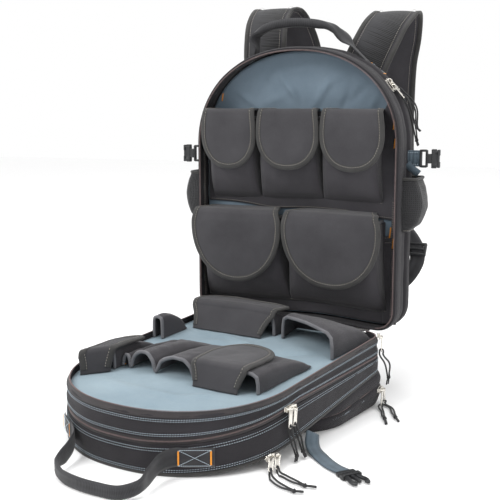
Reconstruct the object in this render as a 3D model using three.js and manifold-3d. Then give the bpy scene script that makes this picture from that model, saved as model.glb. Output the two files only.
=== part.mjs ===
// Tool backpack, opened flat like a clamshell.
// The front half lies on its outer face. The rear half stands up at the hinge, pockets to the front.
// Millimetres, +Z up. The origin is under the middle of the pack, on the surface it stands on.

import Module from 'manifold-3d';
import * as THREE from 'three';
import { mergeVertices } from 'three/addons/utils/BufferGeometryUtils.js';

const wasm = await Module();
wasm.setup();

// Both halves share one outline, so that their zips meet when the pack is shut
const packWidth = 330;
const packLength = 426;
const archHeight = 150;
const archPower = 2.15;
const cornerRadius = 28;

// Depths of the two halves, and how far the linings sit below the rims
const rearDepth = 88;
const backPanelThickness = 12;
const rearLiningSet = 40;
const frontEndHeight = 84;
const frontHingeHeight = 111;
const outerPocketHeight = 56;
const frontLiningSet = 12;

// How the open front half lies against the rear half
const frontTurn = THREE.MathUtils.degToRad(-12);
const frontShift = -4;

// The rear half sags at the right end of the hinge
const rearSag = 10;

// Cloth and trim
const gussetWall = 2.5;
const pocketWall = 2;
const flapThickness = 2.4;
const liningThickness = 2;
const panelThickness = 2.5;
const hingeClothThickness = 2.5;
const hingeBeadThickness = 4;
const coilHeight = 4;
const coilWidth = 2.2;
const clearance = 0.4;
const webbingWidth = 25;
const webbingThickness = 2;

// Pockets, handles and straps
const upperPocketDepth = 44;
const lowerPocketDepth = 52;
const hingePocketDepth = 34;
const openPocketDepth = 38;
const sidePocketDepth = 32;
const leftFlapPocketDepth = 27;
const rightFlapPocketDepth = 27;
const cornerPocketDepth = 33;
const sleeveDepth = 24;
const topHandleRise = 49;
const topHandleGrip = 13;
const frontHandleReach = 82;
const frontHandleGripHeight = 18;
const shoulderStrapWidth = 68;
const shoulderStrapThickness = 10;
const shoulderStrapStandOff = 98;
const buckleLength = 32;
const buckleHeight = 30;
const buckleThickness = 10;
const sliderLength = 12;
const sliderWidth = 9;
const sliderHeight = 5;
const tabLength = 24;
const tabWidth = 8;
const tabThickness = 1.8;
const tabHoleRadius = 2.5;
const cordDiameter = 2.6;
const knotDiameter = 7;

// Cuts across the gussets: a share of the depth from base to rim, and how far the cloth stands out
const rearBands = [
  { share: 0, out: 0.5 },
  { share: 0.1, out: 3 },
  { share: 0.24, out: 3.5 },
  { share: 0.33, out: 0.5 },
  { share: 0.43, out: 0.5 },
  { share: 0.52, out: 3 },
  { share: 0.85, out: 3 },
  { share: 1, out: 0 },
];
const frontBands = [
  { share: 0, out: 1 },
  { share: 0.08, out: 3.5 },
  { share: 0.34, out: 4 },
  { share: 0.44, out: 1 },
  { share: 0.56, out: 1 },
  { share: 0.64, out: 3.5 },
  { share: 0.79, out: 1.6 },
  { share: 0.9, out: 3 },
  { share: 1, out: 0 },
];
const outerPocketBands = [
  { share: 0, out: -6 },
  { share: 0.1, out: 1 },
  { share: 0.45, out: 7 },
  { share: 0.62, out: 4 },
  { share: 0.8, out: 6 },
  { share: 1, out: 1 },
];
const rearZipShare = 0.38;
const frontZipShare = 0.5;

// Height of the front's middle zip as a share of the gusset, along the half from the hinge
const frontZipCourse = [
  { along: 0, share: 0.45 },
  { along: 0.35, share: 0.63 },
  { along: 0.6, share: 0.74 },
  { along: 0.72, share: 0.7 },
  { along: 1, share: 0.54 },
];

const cloth = new THREE.MeshStandardMaterial({ color: 0x4a494b, roughness: 0.9, metalness: 0 });
const gussetCloth = new THREE.MeshStandardMaterial({ color: 0x2f2e30, roughness: 0.88, metalness: 0 });
const rearLiningCloth = new THREE.MeshStandardMaterial({ color: 0x627788, roughness: 0.85, metalness: 0 });
const frontLiningCloth = new THREE.MeshStandardMaterial({ color: 0x97aab3, roughness: 0.85, metalness: 0 });
const blackWebbing = new THREE.MeshStandardMaterial({ color: 0x232325, roughness: 0.8, metalness: 0 });
const blueWebbing = new THREE.MeshStandardMaterial({ color: 0x53636f, roughness: 0.8, metalness: 0 });
const blackMesh = new THREE.MeshStandardMaterial({ color: 0x1d1d1f, roughness: 0.9, metalness: 0 });
const zipTape = new THREE.MeshStandardMaterial({ color: 0x3a3334, roughness: 0.7, metalness: 0 });
const blackPlastic = new THREE.MeshStandardMaterial({ color: 0x1b1c1e, roughness: 0.45, metalness: 0 });
const brightMetal = new THREE.MeshStandardMaterial({ color: 0xd4d2cc, roughness: 0.25, metalness: 1 });
const cordCloth = new THREE.MeshStandardMaterial({ color: 0x18181a, roughness: 0.8, metalness: 0 });

// Linear value between the rows of a table, by one of its columns
function between(rows, key, value, at) {
  const last = rows.length - 1;
  if (at <= rows[0][key]) return rows[0][value];
  for (let i = 0; i < last; i += 1) {
    const low = rows[i];
    const high = rows[i + 1];
    if (at <= high[key]) {
      const t = (at - low[key]) / (high[key] - low[key]);
      return low[value] + t * (high[value] - low[value]);
    }
  }
  return rows[last][value];
}

// Solids

// Six times the volume that the triangles enclose, negative when they face inwards
function signedVolume(positions, indices) {
  const corner = (i) => new THREE.Vector3().fromArray(positions, indices[i] * 3);
  let total = 0;
  for (let i = 0; i < indices.length; i += 3) {
    total += corner(i).dot(corner(i + 1).cross(corner(i + 2)));
  }
  return total;
}

function closedGeometry(points, indices) {
  const positions = points.flatMap((p) => [p.x, p.y, p.z]);
  const facing = signedVolume(positions, indices) > 0 ? indices : [...indices].reverse();
  const geometry = new THREE.BufferGeometry();
  geometry.setAttribute('position', new THREE.Float32BufferAttribute(positions, 3));
  geometry.setIndex(facing);
  return geometry;
}

// Skin over a row of sections with equally many points. A ring joins its last section to its first.
function loft(sections, ring = false) {
  const count = sections[0].length;
  const points = sections.flat();
  const indices = [];
  const spans = ring ? sections.length : sections.length - 1;
  for (let s = 0; s < spans; s += 1) {
    const here = s * count;
    const next = ((s + 1) % sections.length) * count;
    for (let i = 0; i < count; i += 1) {
      const j = (i + 1) % count;
      indices.push(here + i, here + j, next + j, here + i, next + j, next + i);
    }
  }
  if (!ring) {
    const last = (sections.length - 1) * count;
    for (let i = 0, j = count - 1; i + 1 < j; i += 1, j -= 1) {
      indices.push(i, j, i + 1, last + i, last + i + 1, last + j);
      if (i + 1 < j - 1) {
        indices.push(i + 1, j, j - 1, last + i + 1, last + j - 1, last + j);
      }
    }
  }
  return closedGeometry(points, indices);
}

function toManifold(geometry) {
  const bare = geometry.clone();
  bare.deleteAttribute('normal');
  bare.deleteAttribute('uv');
  const merged = mergeVertices(bare, 1e-4);
  return new wasm.Manifold(new wasm.Mesh({
    numProp: 3,
    vertProperties: new Float32Array(merged.getAttribute('position').array),
    triVerts: new Uint32Array(merged.getIndex().array),
  }));
}

function fromManifold(body) {
  const mesh = body.getMesh();
  const geometry = new THREE.BufferGeometry();
  geometry.setAttribute('position', new THREE.Float32BufferAttribute(mesh.vertProperties, 3));
  geometry.setIndex([...mesh.triVerts]);
  return geometry;
}

function join(geometries) {
  return fromManifold(geometries.map(toManifold).reduce((sum, body) => sum.add(body)));
}

function cut(geometry, tool) {
  return fromManifold(toManifold(geometry).subtract(toManifold(tool)));
}

function box(width, depth, height, x = 0, y = 0, z = 0) {
  return new THREE.BoxGeometry(width, depth, height).translate(x, y, z);
}

function piece(name, geometry, material) {
  const mesh = new THREE.Mesh(geometry, material);
  mesh.name = name;
  return mesh;
}

// The shared outline: x across the pack, v along it from the hinge edge, and the outward direction

function outlineCorners() {
  const half = packWidth / 2;
  const inner = half - cornerRadius;
  const shoulder = packLength - archHeight;
  const hingeSteps = 3;
  const cornerSteps = 3;
  const sideSteps = 2;
  const archSteps = 18;
  const corners = [];
  const turn = (centre, start) => {
    for (let i = 0; i < cornerSteps; i += 1) {
      const angle = start + (i / cornerSteps) * Math.PI / 2;
      corners.push({
        x: centre + cornerRadius * Math.cos(angle),
        v: cornerRadius + cornerRadius * Math.sin(angle),
      });
    }
  };
  for (let i = 0; i < hingeSteps; i += 1) {
    corners.push({ x: -inner + (2 * inner * i) / hingeSteps, v: 0 });
  }
  const zipStart = corners.length;
  turn(inner, -Math.PI / 2);
  for (let i = 0; i < sideSteps; i += 1) {
    corners.push({ x: half, v: cornerRadius + (shoulder - cornerRadius) * (i / sideSteps) });
  }
  for (let i = 0; i < archSteps; i += 1) {
    corners.push(archPoint(Math.PI * (i / archSteps)));
  }
  for (let i = 0; i < sideSteps; i += 1) {
    corners.push({ x: -half, v: shoulder - (shoulder - cornerRadius) * (i / sideSteps) });
  }
  turn(-inner, Math.PI);
  return { corners, zipStart };
}

// A point of the arch, 0 at its right foot and half a turn at its left foot
function archPoint(angle) {
  const power = 2 / archPower;
  const across = Math.cos(angle);
  const up = Math.max(Math.sin(angle), 0);
  return {
    x: (packWidth / 2) * Math.sign(across) * Math.abs(across) ** power,
    v: packLength - archHeight + archHeight * up ** power,
  };
}

// The arch at a place across the pack, moved outwards, with its outward direction
function archAt(x, outset) {
  const half = packWidth / 2;
  const height = (across) => archHeight * (1 - Math.abs(across / half) ** archPower) ** (1 / archPower);
  const step = 0.5;
  const slope = (height(x + step) - height(x - step)) / (2 * step);
  const length = Math.hypot(slope, 1);
  const outward = { x: -slope / length, v: 1 / length };
  return {
    x: x + outward.x * outset,
    v: packLength - archHeight + height(x) + outward.v * outset,
  };
}

const { corners: outline, zipStart } = outlineCorners();
outline.forEach((point, i) => {
  const before = outline[(i + outline.length - 1) % outline.length];
  const after = outline[(i + 1) % outline.length];
  const length = Math.hypot(after.x - before.x, after.v - before.v);
  point.outX = (after.v - before.v) / length;
  point.outV = -(after.x - before.x) / length;
});

function outlineAt(i, outset) {
  const point = outline[i % outline.length];
  return { x: point.x + point.outX * outset, v: point.v + point.outV * outset };
}

// The two halves: where a place on the gusset, below the rim or above the lining is in space

const rearEdge = coilHeight + clearance;
const rear = {
  bands: rearBands,
  zipShare: rearZipShare,
  at: (x, v, share) => new THREE.Vector3(x, rearDepth - share * (rearDepth - rearEdge), v),
  belowRim: (x, v, below) => new THREE.Vector3(x, below, v),
  onLining: (x, v, rise) => new THREE.Vector3(x, rearLiningSet - rise, v),
  liningShare: () => (rearDepth - rearLiningSet) / (rearDepth - rearEdge),
};

function hingeShare(v) {
  return THREE.MathUtils.clamp(1 - v / packLength, 0, 1);
}

// How far the rear half hangs down at a place
function sag(x, v) {
  return rearSag * THREE.MathUtils.smoothstep(x, 0.05 * packWidth, 0.5 * packWidth) * hingeShare(v) ** 2;
}

// Lets all the pieces of the rear half hang down
function hangDown(half) {
  half.children.forEach(({ geometry }) => {
    const positions = geometry.getAttribute('position');
    for (let i = 0; i < positions.count; i += 1) {
      positions.setZ(i, positions.getZ(i) - sag(positions.getX(i), positions.getZ(i)));
    }
    geometry.computeVertexNormals();
  });
}

function frontBase(v) {
  return outerPocketHeight * hingeShare(v);
}

function frontRim(v) {
  return frontEndHeight + (frontHingeHeight - frontEndHeight) * hingeShare(v);
}

// The middle zip doesn't run at one share of the height, so the bands above and below stretch
function frontCourse(v, share) {
  const zip = between(frontZipCourse, 'along', 'share', v / packLength);
  if (share < frontZipShare) return (share / frontZipShare) * zip;
  return zip + ((share - frontZipShare) / (1 - frontZipShare)) * (1 - zip);
}

const front = {
  bands: frontBands,
  zipShare: frontZipShare,
  at: (x, v, share) => {
    const top = frontRim(v) - coilHeight - clearance;
    return new THREE.Vector3(x, -v, frontBase(v) + frontCourse(v, share) * (top - frontBase(v)));
  },
  belowRim: (x, v, below) => new THREE.Vector3(x, -v, frontRim(v) - below),
  onLining: (x, v, rise) => new THREE.Vector3(x, -v, frontRim(v) - frontLiningSet + rise),
  liningShare: () => 0.84,
};

// Gussets, zips and linings

function gusset(half) {
  const sections = outline.map((_, i) => {
    const ringPoint = (outset, share) => {
      const { x, v } = outlineAt(i, outset);
      return half.at(x, v, share);
    };
    const outer = half.bands.map((band) => ringPoint(band.out, band.share));
    const inner = half.bands.map((band) => ringPoint(band.out - gussetWall, band.share));
    return [...outer, ...inner.reverse()];
  });
  return loft(sections, true);
}

// A strip with four corners along the sides and the arch, open at the hinge
function zipStrip(corner) {
  const sections = [];
  for (let i = zipStart; i <= outline.length; i += 1) {
    sections.push([corner(i, 0, 0), corner(i, 1, 0), corner(i, 1, 1), corner(i, 0, 1)]);
  }
  return loft(sections);
}

function mainZip(half) {
  return zipStrip((i, outer, low) => {
    const { x, v } = outlineAt(i, -coilWidth - clearance / 2 + outer * coilWidth);
    return half.belowRim(x, v, low * coilHeight);
  });
}

// A zip in the groove of a gusset
function grooveZip(half) {
  const halfHeight = 0.035;
  const floor = between(half.bands, 'share', 'out', half.zipShare) + clearance;
  return zipStrip((i, outer, low) => {
    const { x, v } = outlineAt(i, floor + outer * coilWidth);
    return half.at(x, v, half.zipShare + halfHeight * (1 - 2 * low));
  });
}

// A sheet across a half, in rings drawn in towards its middle
function sheetAcross(rings, edgeOutset, place) {
  const middle = packLength * 0.48;
  return loft(rings.map(({ size, level }) => outline.map((_, i) => {
    const { x, v } = outlineAt(i, edgeOutset);
    return place(x * size, middle + (v - middle) * size, level);
  })));
}

function lining(half) {
  const inside = Math.min(
    between(half.bands, 'share', 'out', half.liningShare()),
    between(half.bands, 'share', 'out', half.liningShare() - 0.04),
  );
  const rings = [
    { size: 0.1, level: 0 },
    { size: 1, level: 0 },
    { size: 1, level: -liningThickness },
    { size: 0.1, level: -liningThickness },
  ];
  return sheetAcross(rings, inside - gussetWall - clearance, half.onLining);
}

function backPanel() {
  const rings = [
    { size: 0.1, level: 0 },
    { size: 1, level: 0 },
    { size: 1.005, level: 0.4 },
    { size: 0.93, level: 0.95 },
    { size: 0.6, level: 1 },
    { size: 0.1, level: 0.9 },
  ];
  const near = rearDepth + clearance;
  return sheetAcross(rings, 1, (x, v, level) => (
    new THREE.Vector3(x, near + level * backPanelThickness, v)
  ));
}

function frontBasePanel() {
  const rings = [
    { size: 0.1, level: 0 },
    { size: 1, level: 0 },
    { size: 1, level: 1 },
    { size: 0.1, level: 1 },
  ];
  const edge = frontBands[0].out - gussetWall - clearance;
  return sheetAcross(rings, edge, (x, v, level) => (
    new THREE.Vector3(x, -v, frontBase(v) + level * panelThickness)
  ));
}

// The large outer pocket under the hinge end of the front half, a tray that the base panel covers
function outerPocket() {
  const half = packWidth / 2;
  const inner = half - cornerRadius;
  const straight = packLength * 0.3;
  const endReach = packLength * 0.25;
  const cornerSteps = 3;
  const endSteps = 9;
  const footprint = [];
  for (let i = 0; i <= cornerSteps; i += 1) {
    const angle = -Math.PI / 2 + (i / cornerSteps) * Math.PI / 2;
    footprint.push({ x: Math.cos(angle), v: Math.sin(angle), atX: inner, atV: cornerRadius });
  }
  for (let i = 0; i <= endSteps; i += 1) {
    const angle = Math.PI * (i / endSteps);
    footprint.push({ x: Math.cos(angle), v: Math.sin(angle), atX: 0, atV: straight });
  }
  for (let i = 0; i <= cornerSteps; i += 1) {
    const angle = Math.PI + (i / cornerSteps) * Math.PI / 2;
    footprint.push({ x: Math.cos(angle), v: Math.sin(angle), atX: -inner, atV: cornerRadius });
  }
  const ring = (outset, share, lift = 0) => footprint.map(({ x, v, atX, atV }) => {
    const end = atX === 0;
    const px = atX + x * ((end ? half : cornerRadius) + outset);
    const pv = atV + v * ((end ? endReach : cornerRadius) + outset);
    const top = frontBase(pv) - clearance;
    return new THREE.Vector3(px, -pv, lift + share * (top - lift));
  });
  const outer = outerPocketBands.map((band) => ring(band.out, band.share));
  const hollow = outerPocketBands.slice(1).map((band) => ring(band.out - gussetWall, band.share, panelThickness));
  return loft([...outer, ...hollow.reverse()]);
}

// The cloth that joins the halves, lying on the front's hinge edge, with a bead under the rear's bottom edge
function hingeCloth() {
  const reach = packWidth * 0.385;
  const near = 4;
  const far = 8;
  const beadWidth = 5;
  const low = frontHingeHeight - coilHeight;
  const steps = 8;
  const sections = [];
  for (let i = 0; i <= steps; i += 1) {
    const x = reach * ((2 * i) / steps - 1);
    const hingeLine = Math.tan(frontTurn) * x;
    const back = Math.max(hingeLine, 0) + far;
    const forward = Math.min(hingeLine, 0) - near;
    const bead = back - beadWidth;
    const wall = Math.min(hingeLine + 4.5, bead - 0.5);
    const sagged = low - sag(x, 0);
    sections.push([
      new THREE.Vector3(x, forward, low),
      new THREE.Vector3(x, wall, low),
      new THREE.Vector3(x, bead, sagged),
      new THREE.Vector3(x, back, sagged),
      new THREE.Vector3(x, back, sagged + hingeBeadThickness),
      new THREE.Vector3(x, bead, sagged + hingeBeadThickness),
      new THREE.Vector3(x, wall, low + hingeClothThickness),
      new THREE.Vector3(x, forward, low + hingeClothThickness),
    ]);
  }
  return loft(sections);
}

// Pockets: widths are shares of the pack's width, lengths are shares of its length

const pocketSection = [
  { across: -1, lift: 0 },
  { across: -1, lift: 0.55 },
  { across: -0.93, lift: 0.85 },
  { across: -0.72, lift: 1 },
  { across: 0, lift: 1.06 },
  { across: 0.72, lift: 1 },
  { across: 0.93, lift: 0.85 },
  { across: 1, lift: 0.55 },
  { across: 1, lift: 0 },
];

// From the closed end to the mouth
const pocketRows = [
  { along: 0, deep: 0.12, wide: 1 },
  { along: 0.12, deep: 0.55, wide: 1 },
  { along: 0.4, deep: 0.86, wide: 0.97 },
  { along: 0.75, deep: 1, wide: 0.95 },
  { along: 1, deep: 0.97, wide: 0.93 },
];
const sidePocketRows = [
  { along: 0, deep: 0.35, wide: 0.8 },
  { along: 0.15, deep: 0.75, wide: 0.95 },
  { along: 0.5, deep: 1, wide: 1 },
  { along: 0.8, deep: 0.9, wide: 1 },
  { along: 1, deep: 0.72, wide: 1 },
];

function pocket(place, { left, right, closed, closedSlant = 0, mouth, slant = 0, depth, rows = pocketRows }) {
  const middle = (left + right) / 2;
  const reach = (right - left) / 2;
  const section = (row, inset) => pocketSection.map(({ across, lift }) => {
    const x = middle + across * (reach * row.wide - inset);
    const aside = (x - middle) / (2 * reach);
    const shut = closed + closedSlant * aside;
    const v = shut + row.along * (mouth + slant * aside - shut);
    return place(x, v, clearance + inset + lift * (depth * row.deep - 2 * inset));
  });
  const outer = rows.map((row) => section(row, 0));
  const inner = rows.slice(1).map((row) => section(row, pocketWall));
  return loft([...outer, ...inner.reverse()]);
}

// A flap stands on the lining before the mouth, folds over the top and ends in a tongue
const flapRows = [
  { over: 0, lift: 0, wide: 0.82 },
  { over: 0, lift: 0.5, wide: 0.83 },
  { over: 0, lift: 0.88, wide: 0.95 },
  { over: 0.06, lift: 1, wide: 1 },
  { over: 0.35, lift: 1.02, wide: 1 },
  { over: 0.6, lift: 0.99, wide: 0.96 },
  { over: 0.82, lift: 0.96, wide: 0.78 },
  { over: 0.94, lift: 0.94, wide: 0.52 },
  { over: 1, lift: 0.93, wide: 0.24 },
];

function flap(place, { left, right, fold, length, height, lean = 0, slant = 0 }) {
  const middle = (left + right) / 2;
  const reach = (right - left) / 2;
  const droop = 2.5;
  const columns = [-1, -0.4, 0.4, 1];
  const path = flapRows.map(({ over, lift }) => ({
    v: fold + lean * (1 - lift) - over * length,
    rise: clearance + lift * height,
  }));
  const sections = flapRows.map((row, i) => {
    const before = path[Math.max(i - 1, 0)];
    const after = path[Math.min(i + 1, path.length - 1)];
    const run = Math.hypot(after.v - before.v, after.rise - before.rise);
    const outV = (after.rise - before.rise) / run;
    const outRise = -(after.v - before.v) / run;
    const line = (side) => columns.map((across) => {
      const x = middle + across * reach * row.wide;
      const half = (side * flapThickness) / 2;
      const sag = droop * across * across * row.lift;
      const v = path[i].v + slant * ((x - middle) / (2 * reach)) + outV * half;
      return place(x, v, Math.max(path[i].rise + outRise * half - sag, clearance));
    });
    return [...line(1), ...line(-1).reverse()];
  });
  return loft(sections);
}

// One strip of cloth stitched down between its sleeves, open towards the handle end
const sleeveArch = [
  { across: 0, lift: 0 },
  { across: 0.14, lift: 0.62 },
  { across: 0.34, lift: 0.94 },
  { across: 0.66, lift: 1 },
  { across: 0.88, lift: 0.62 },
];

function sleeves(place, { seams, closed, mouth, depth }) {
  const rows = [
    { along: 0, deep: 0.03 },
    { along: 0.2, deep: 0.45 },
    { along: 0.6, deep: 0.85 },
    { along: 1, deep: 1 },
  ];
  const across = [];
  for (let i = 0; i + 1 < seams.length; i += 1) {
    const width = seams[i + 1] - seams[i];
    const full = Math.min(1, width / (seams[1] - seams[0]) / 1.5);
    sleeveArch.forEach((point) => across.push({ x: seams[i] + point.across * width, lift: point.lift * full }));
  }
  across.push({ x: seams.at(-1), lift: 0 });
  const sections = rows.map((row) => {
    const line = (thickness) => across.map(({ x, lift }) => place(
      x,
      closed + row.along * (mouth - closed),
      clearance + thickness + lift * row.deep * depth,
    ));
    return [...line(pocketWall), ...line(0).reverse()];
  });
  return loft(sections);
}

// Bands of webbing and padding

// A band along hand-placed points, each with the direction of its width, its width and thickness
function band(stations, steps, soft = false) {
  const curve = new THREE.CatmullRomCurve3(stations.map((s) => s.at), false, 'centripetal');
  const centres = curve.getPoints(steps);
  const sections = centres.map((centre, i) => {
    const t = (i / steps) * (stations.length - 1);
    const low = Math.min(Math.floor(t), stations.length - 2);
    const mix = t - low;
    const value = (key) => stations[low][key] * (1 - mix) + stations[low + 1][key] * mix;
    const before = centres[Math.max(i - 1, 0)];
    const after = centres[Math.min(i + 1, steps)];
    const tangent = after.clone().sub(before).normalize();
    const wide = stations[low].across.clone().lerp(stations[low + 1].across, mix);
    const normal = tangent.clone().cross(wide).normalize();
    const width = normal.clone().cross(tangent).normalize();
    const a = value('width') / 2;
    const b = value('thick') / 2;
    const shape = soft
      ? [[-a, -b * 0.4], [-a * 0.9, -b], [a * 0.9, -b], [a, -b * 0.4], [a, b * 0.4], [a * 0.9, b], [-a * 0.9, b], [-a, b * 0.4]]
      : [[-a, -b], [a, -b], [a, b], [-a, b]];
    return shape.map(([w, n]) => centre.clone().addScaledVector(width, w).addScaledVector(normal, n));
  });
  return loft(sections);
}

const alongX = new THREE.Vector3(1, 0, 0);
const alongY = new THREE.Vector3(0, 1, 0);
const alongZ = new THREE.Vector3(0, 0, 1);

// The top handle: sewn tabs on the arch, webbing legs and a rolled grip
function topHandle() {
  const depth = rearDepth - 11;
  const lay = rearBands[2].out + 2 * clearance + webbingThickness / 2 + 0.4;
  const tab = (x) => {
    const { x: px, v } = archAt(x * packWidth, lay);
    return new THREE.Vector3(px, depth, v);
  };
  const above = (x, rise) => new THREE.Vector3(x * packWidth, depth, packLength + rise * topHandleRise);
  const thin = webbingThickness;
  const wide = webbingWidth;
  const stations = [
    { at: tab(-0.37), across: alongY, width: wide, thick: thin },
    { at: tab(-0.335), across: alongY, width: wide, thick: thin },
    { at: tab(-0.295), across: alongY, width: wide, thick: thin },
    { at: above(-0.275, 0.1), across: alongY, width: wide, thick: thin },
    { at: above(-0.295, 0.5), across: alongY, width: wide * 0.8, thick: thin * 2 },
    { at: above(-0.235, 0.82), across: alongY, width: topHandleGrip, thick: topHandleGrip * 0.9 },
    { at: above(-0.1, 1), across: alongY, width: topHandleGrip, thick: topHandleGrip * 0.9 },
    { at: above(0.04, 0.93), across: alongY, width: topHandleGrip, thick: topHandleGrip * 0.9 },
    { at: above(0.115, 0.8), across: alongY, width: wide * 0.8, thick: thin * 2 },
    { at: above(0.175, 0.45), across: alongY, width: wide, thick: thin },
    { at: above(0.235, 0.06), across: alongY, width: wide, thick: thin },
    { at: tab(0.3), across: alongY, width: wide, thick: thin },
    { at: tab(0.335), across: alongY, width: wide, thick: thin },
    { at: tab(0.37), across: alongY, width: wide, thick: thin },
  ];
  return band(stations, 22, true);
}

// The front handle: tabs sewn on the gusset, legs running out and a folded grip lying on the floor
function frontHandle() {
  const lay = frontBands[2].out + 2 * clearance + webbingThickness / 2 + 0.4;
  const tabHeight = 27;
  const gripMiddle = frontHandleGripHeight / 2 + 0.6;
  const tab = (x) => {
    const { x: px, v } = archAt(x * packWidth, lay);
    return new THREE.Vector3(px, -v, tabHeight);
  };
  const out = (x, reach, height) => (
    new THREE.Vector3(x * packWidth, -packLength - reach * frontHandleReach, height)
  );
  const webbing = { across: alongZ, width: webbingWidth, thick: webbingThickness };
  const grip = { across: alongZ, width: frontHandleGripHeight, thick: webbingThickness * 2.6 };
  const stations = [
    { at: tab(-0.37), ...webbing },
    { at: tab(-0.33), ...webbing },
    { at: tab(-0.29), ...webbing },
    { at: tab(-0.25), ...webbing },
    { at: out(-0.2, 0.08, 24), ...webbing },
    { at: out(-0.16, 0.42, 18), ...webbing },
    { at: out(-0.14, 0.7, 14), ...grip },
    { at: out(-0.07, 0.9, gripMiddle), ...grip },
    { at: out(0.03, 1, gripMiddle), ...grip },
    { at: out(0.13, 1, gripMiddle), ...grip },
    { at: out(0.22, 0.92, gripMiddle), ...grip },
    { at: out(0.265, 0.72, 14), ...grip },
    { at: out(0.25, 0.42, 18), ...webbing },
    { at: out(0.235, 0.08, 24), ...webbing },
    { at: tab(0.25), ...webbing },
    { at: tab(0.29), ...webbing },
    { at: tab(0.33), ...webbing },
    { at: tab(0.37), ...webbing },
  ];
  return band(stations, 26, true);
}

// Padded shoulder straps: across is a share of the width, back a share of the stand-off, up of the length
const leftStrapCourse = [
  { across: -0.236, back: 0, up: 0.832, wide: 0.95 },
  { across: -0.267, back: 0.01, up: 0.949, wide: 1 },
  { across: -0.273, back: 0.05, up: 1.042, wide: 1 },
  { across: -0.275, back: 0.2, up: 1.13, wide: 1 },
  { across: -0.262, back: 0.45, up: 1.178, wide: 1 },
  { across: -0.234, back: 0.7, up: 1.162, wide: 1 },
  { across: -0.19, back: 0.88, up: 1.083, wide: 1 },
  { across: -0.158, back: 0.97, up: 0.972, wide: 1 },
  { across: -0.158, back: 1, up: 0.832, wide: 1 },
  { across: -0.188, back: 0.96, up: 0.692, wide: 0.98 },
  { across: -0.255, back: 0.87, up: 0.551, wide: 0.93 },
  { across: -0.345, back: 0.72, up: 0.423, wide: 0.82 },
  { across: -0.41, back: 0.57, up: 0.343, wide: 0.6 },
];
const rightStrapCourse = [
  { across: 0.218, back: 0, up: 0.832, wide: 0.95 },
  { across: 0.255, back: 0.01, up: 0.937, wide: 1 },
  { across: 0.306, back: 0.06, up: 1.03, wide: 1 },
  { across: 0.352, back: 0.19, up: 1.107, wide: 1 },
  { across: 0.388, back: 0.43, up: 1.15, wide: 1 },
  { across: 0.384, back: 0.69, up: 1.14, wide: 1 },
  { across: 0.37, back: 0.87, up: 1.07, wide: 1 },
  { across: 0.345, back: 0.97, up: 0.972, wide: 1 },
  { across: 0.336, back: 1, up: 0.832, wide: 1 },
  { across: 0.34, back: 0.96, up: 0.692, wide: 0.98 },
  { across: 0.358, back: 0.87, up: 0.551, wide: 0.93 },
  { across: 0.388, back: 0.72, up: 0.423, wide: 0.82 },
  { across: 0.42, back: 0.57, up: 0.343, wide: 0.6 },
];

function strapStations(course, width, thick) {
  const face = rearDepth + clearance + backPanelThickness + clearance + shoulderStrapThickness / 2;
  return course.map(({ across, back, up, wide }) => ({
    at: new THREE.Vector3(across * packWidth, face + back * shoulderStrapStandOff, up * packLength),
    across: alongX,
    width: width * wide,
    thick,
  }));
}

// The webbing below each padded strap, through its adjuster to the lower corner of the back
const lowerStrapCourse = [
  { across: 0.426, back: 0.55, up: 0.329, wide: 1 },
  { across: 0.485, back: 0.4, up: 0.294, wide: 1 },
  { across: 0.527, back: 0.26, up: 0.252, wide: 1 },
  { across: 0.536, back: 0.13, up: 0.21, wide: 1 },
  { across: 0.5, back: 0.0, up: 0.155, wide: 1 },
  { across: 0.43, back: -0.035, up: 0.11, wide: 1 },
];

function lowerStrap(side) {
  const course = lowerStrapCourse.map((row) => ({ ...row, across: side * row.across }));
  const stations = strapStations(course, webbingWidth, webbingThickness);
  const adjuster = stations[2].at;
  const frame = box(webbingWidth + 8, 7, 22).rotateX(-0.7).translate(adjuster.x, adjuster.y, adjuster.z);
  return join([band(stations, 12), frame]);
}

// Side release buckles

function sideBuckle(side) {
  const body = box(buckleLength, buckleThickness, buckleHeight);
  const socket = box(buckleLength * 0.62, buckleThickness * 0.56, buckleHeight * 0.72, buckleLength * 0.25, 0, 0);
  const start = packWidth / 2 + 23;
  return cut(body, socket)
    .rotateZ(side < 0 ? Math.PI : 0)
    .translate(side * (start + buckleLength / 2), rearDepth * 0.7, packLength * 0.607);
}

function sideWebbing(side) {
  const z = packLength * 0.607;
  const y = rearDepth * 0.7;
  const start = packWidth / 2 + rearBands[2].out + clearance;
  const end = packWidth / 2 + 23 - clearance;
  const stations = [start, end].map((x) => ({
    at: new THREE.Vector3(side * x, y, z),
    across: alongZ,
    width: webbingWidth,
    thick: webbingThickness * 2,
  }));
  return band(stations, 1);
}

// The free half of the compression strap, out of the right seam and over the floor: across and
// along in shares of the pack's width and length
const compressionCourse = [
  { across: 0.523, along: 0.5305, height: 20, turn: 0.2 },
  { across: 0.548, along: 0.5634, height: 7, turn: 0.7 },
  { across: 0.615, along: 0.6056, height: 2.4, turn: 1 },
  { across: 0.703, along: 0.6526, height: 2.4, turn: 1 },
  { across: 0.764, along: 0.6737, height: 3.4, turn: 1 },
];

function onFloor({ across, along, height }) {
  return new THREE.Vector3(across * packWidth, -along * packLength, height);
}

// The strap points along the floor, its width from upright at the seam to flat
function compressionStrap() {
  const stations = compressionCourse.map(({ turn, ...spot }) => ({
    at: onFloor(spot),
    across: new THREE.Vector3(-0.5, -0.85, 0.5 * (1 - turn)),
    width: webbingWidth * 0.88,
    thick: webbingThickness * 0.9,
  }));
  return band(stations, 12);
}

// A block lying on the floor beyond the strap's end, turned with it
function onStrapLine(geometry, along, height) {
  const direction = new THREE.Vector3(0.86, -0.5, 0).normalize();
  const spot = onFloor(compressionCourse.at(-1)).addScaledVector(direction, along);
  return geometry
    .rotateZ(Math.atan2(direction.y, direction.x))
    .translate(spot.x, spot.y, height);
}

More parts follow.
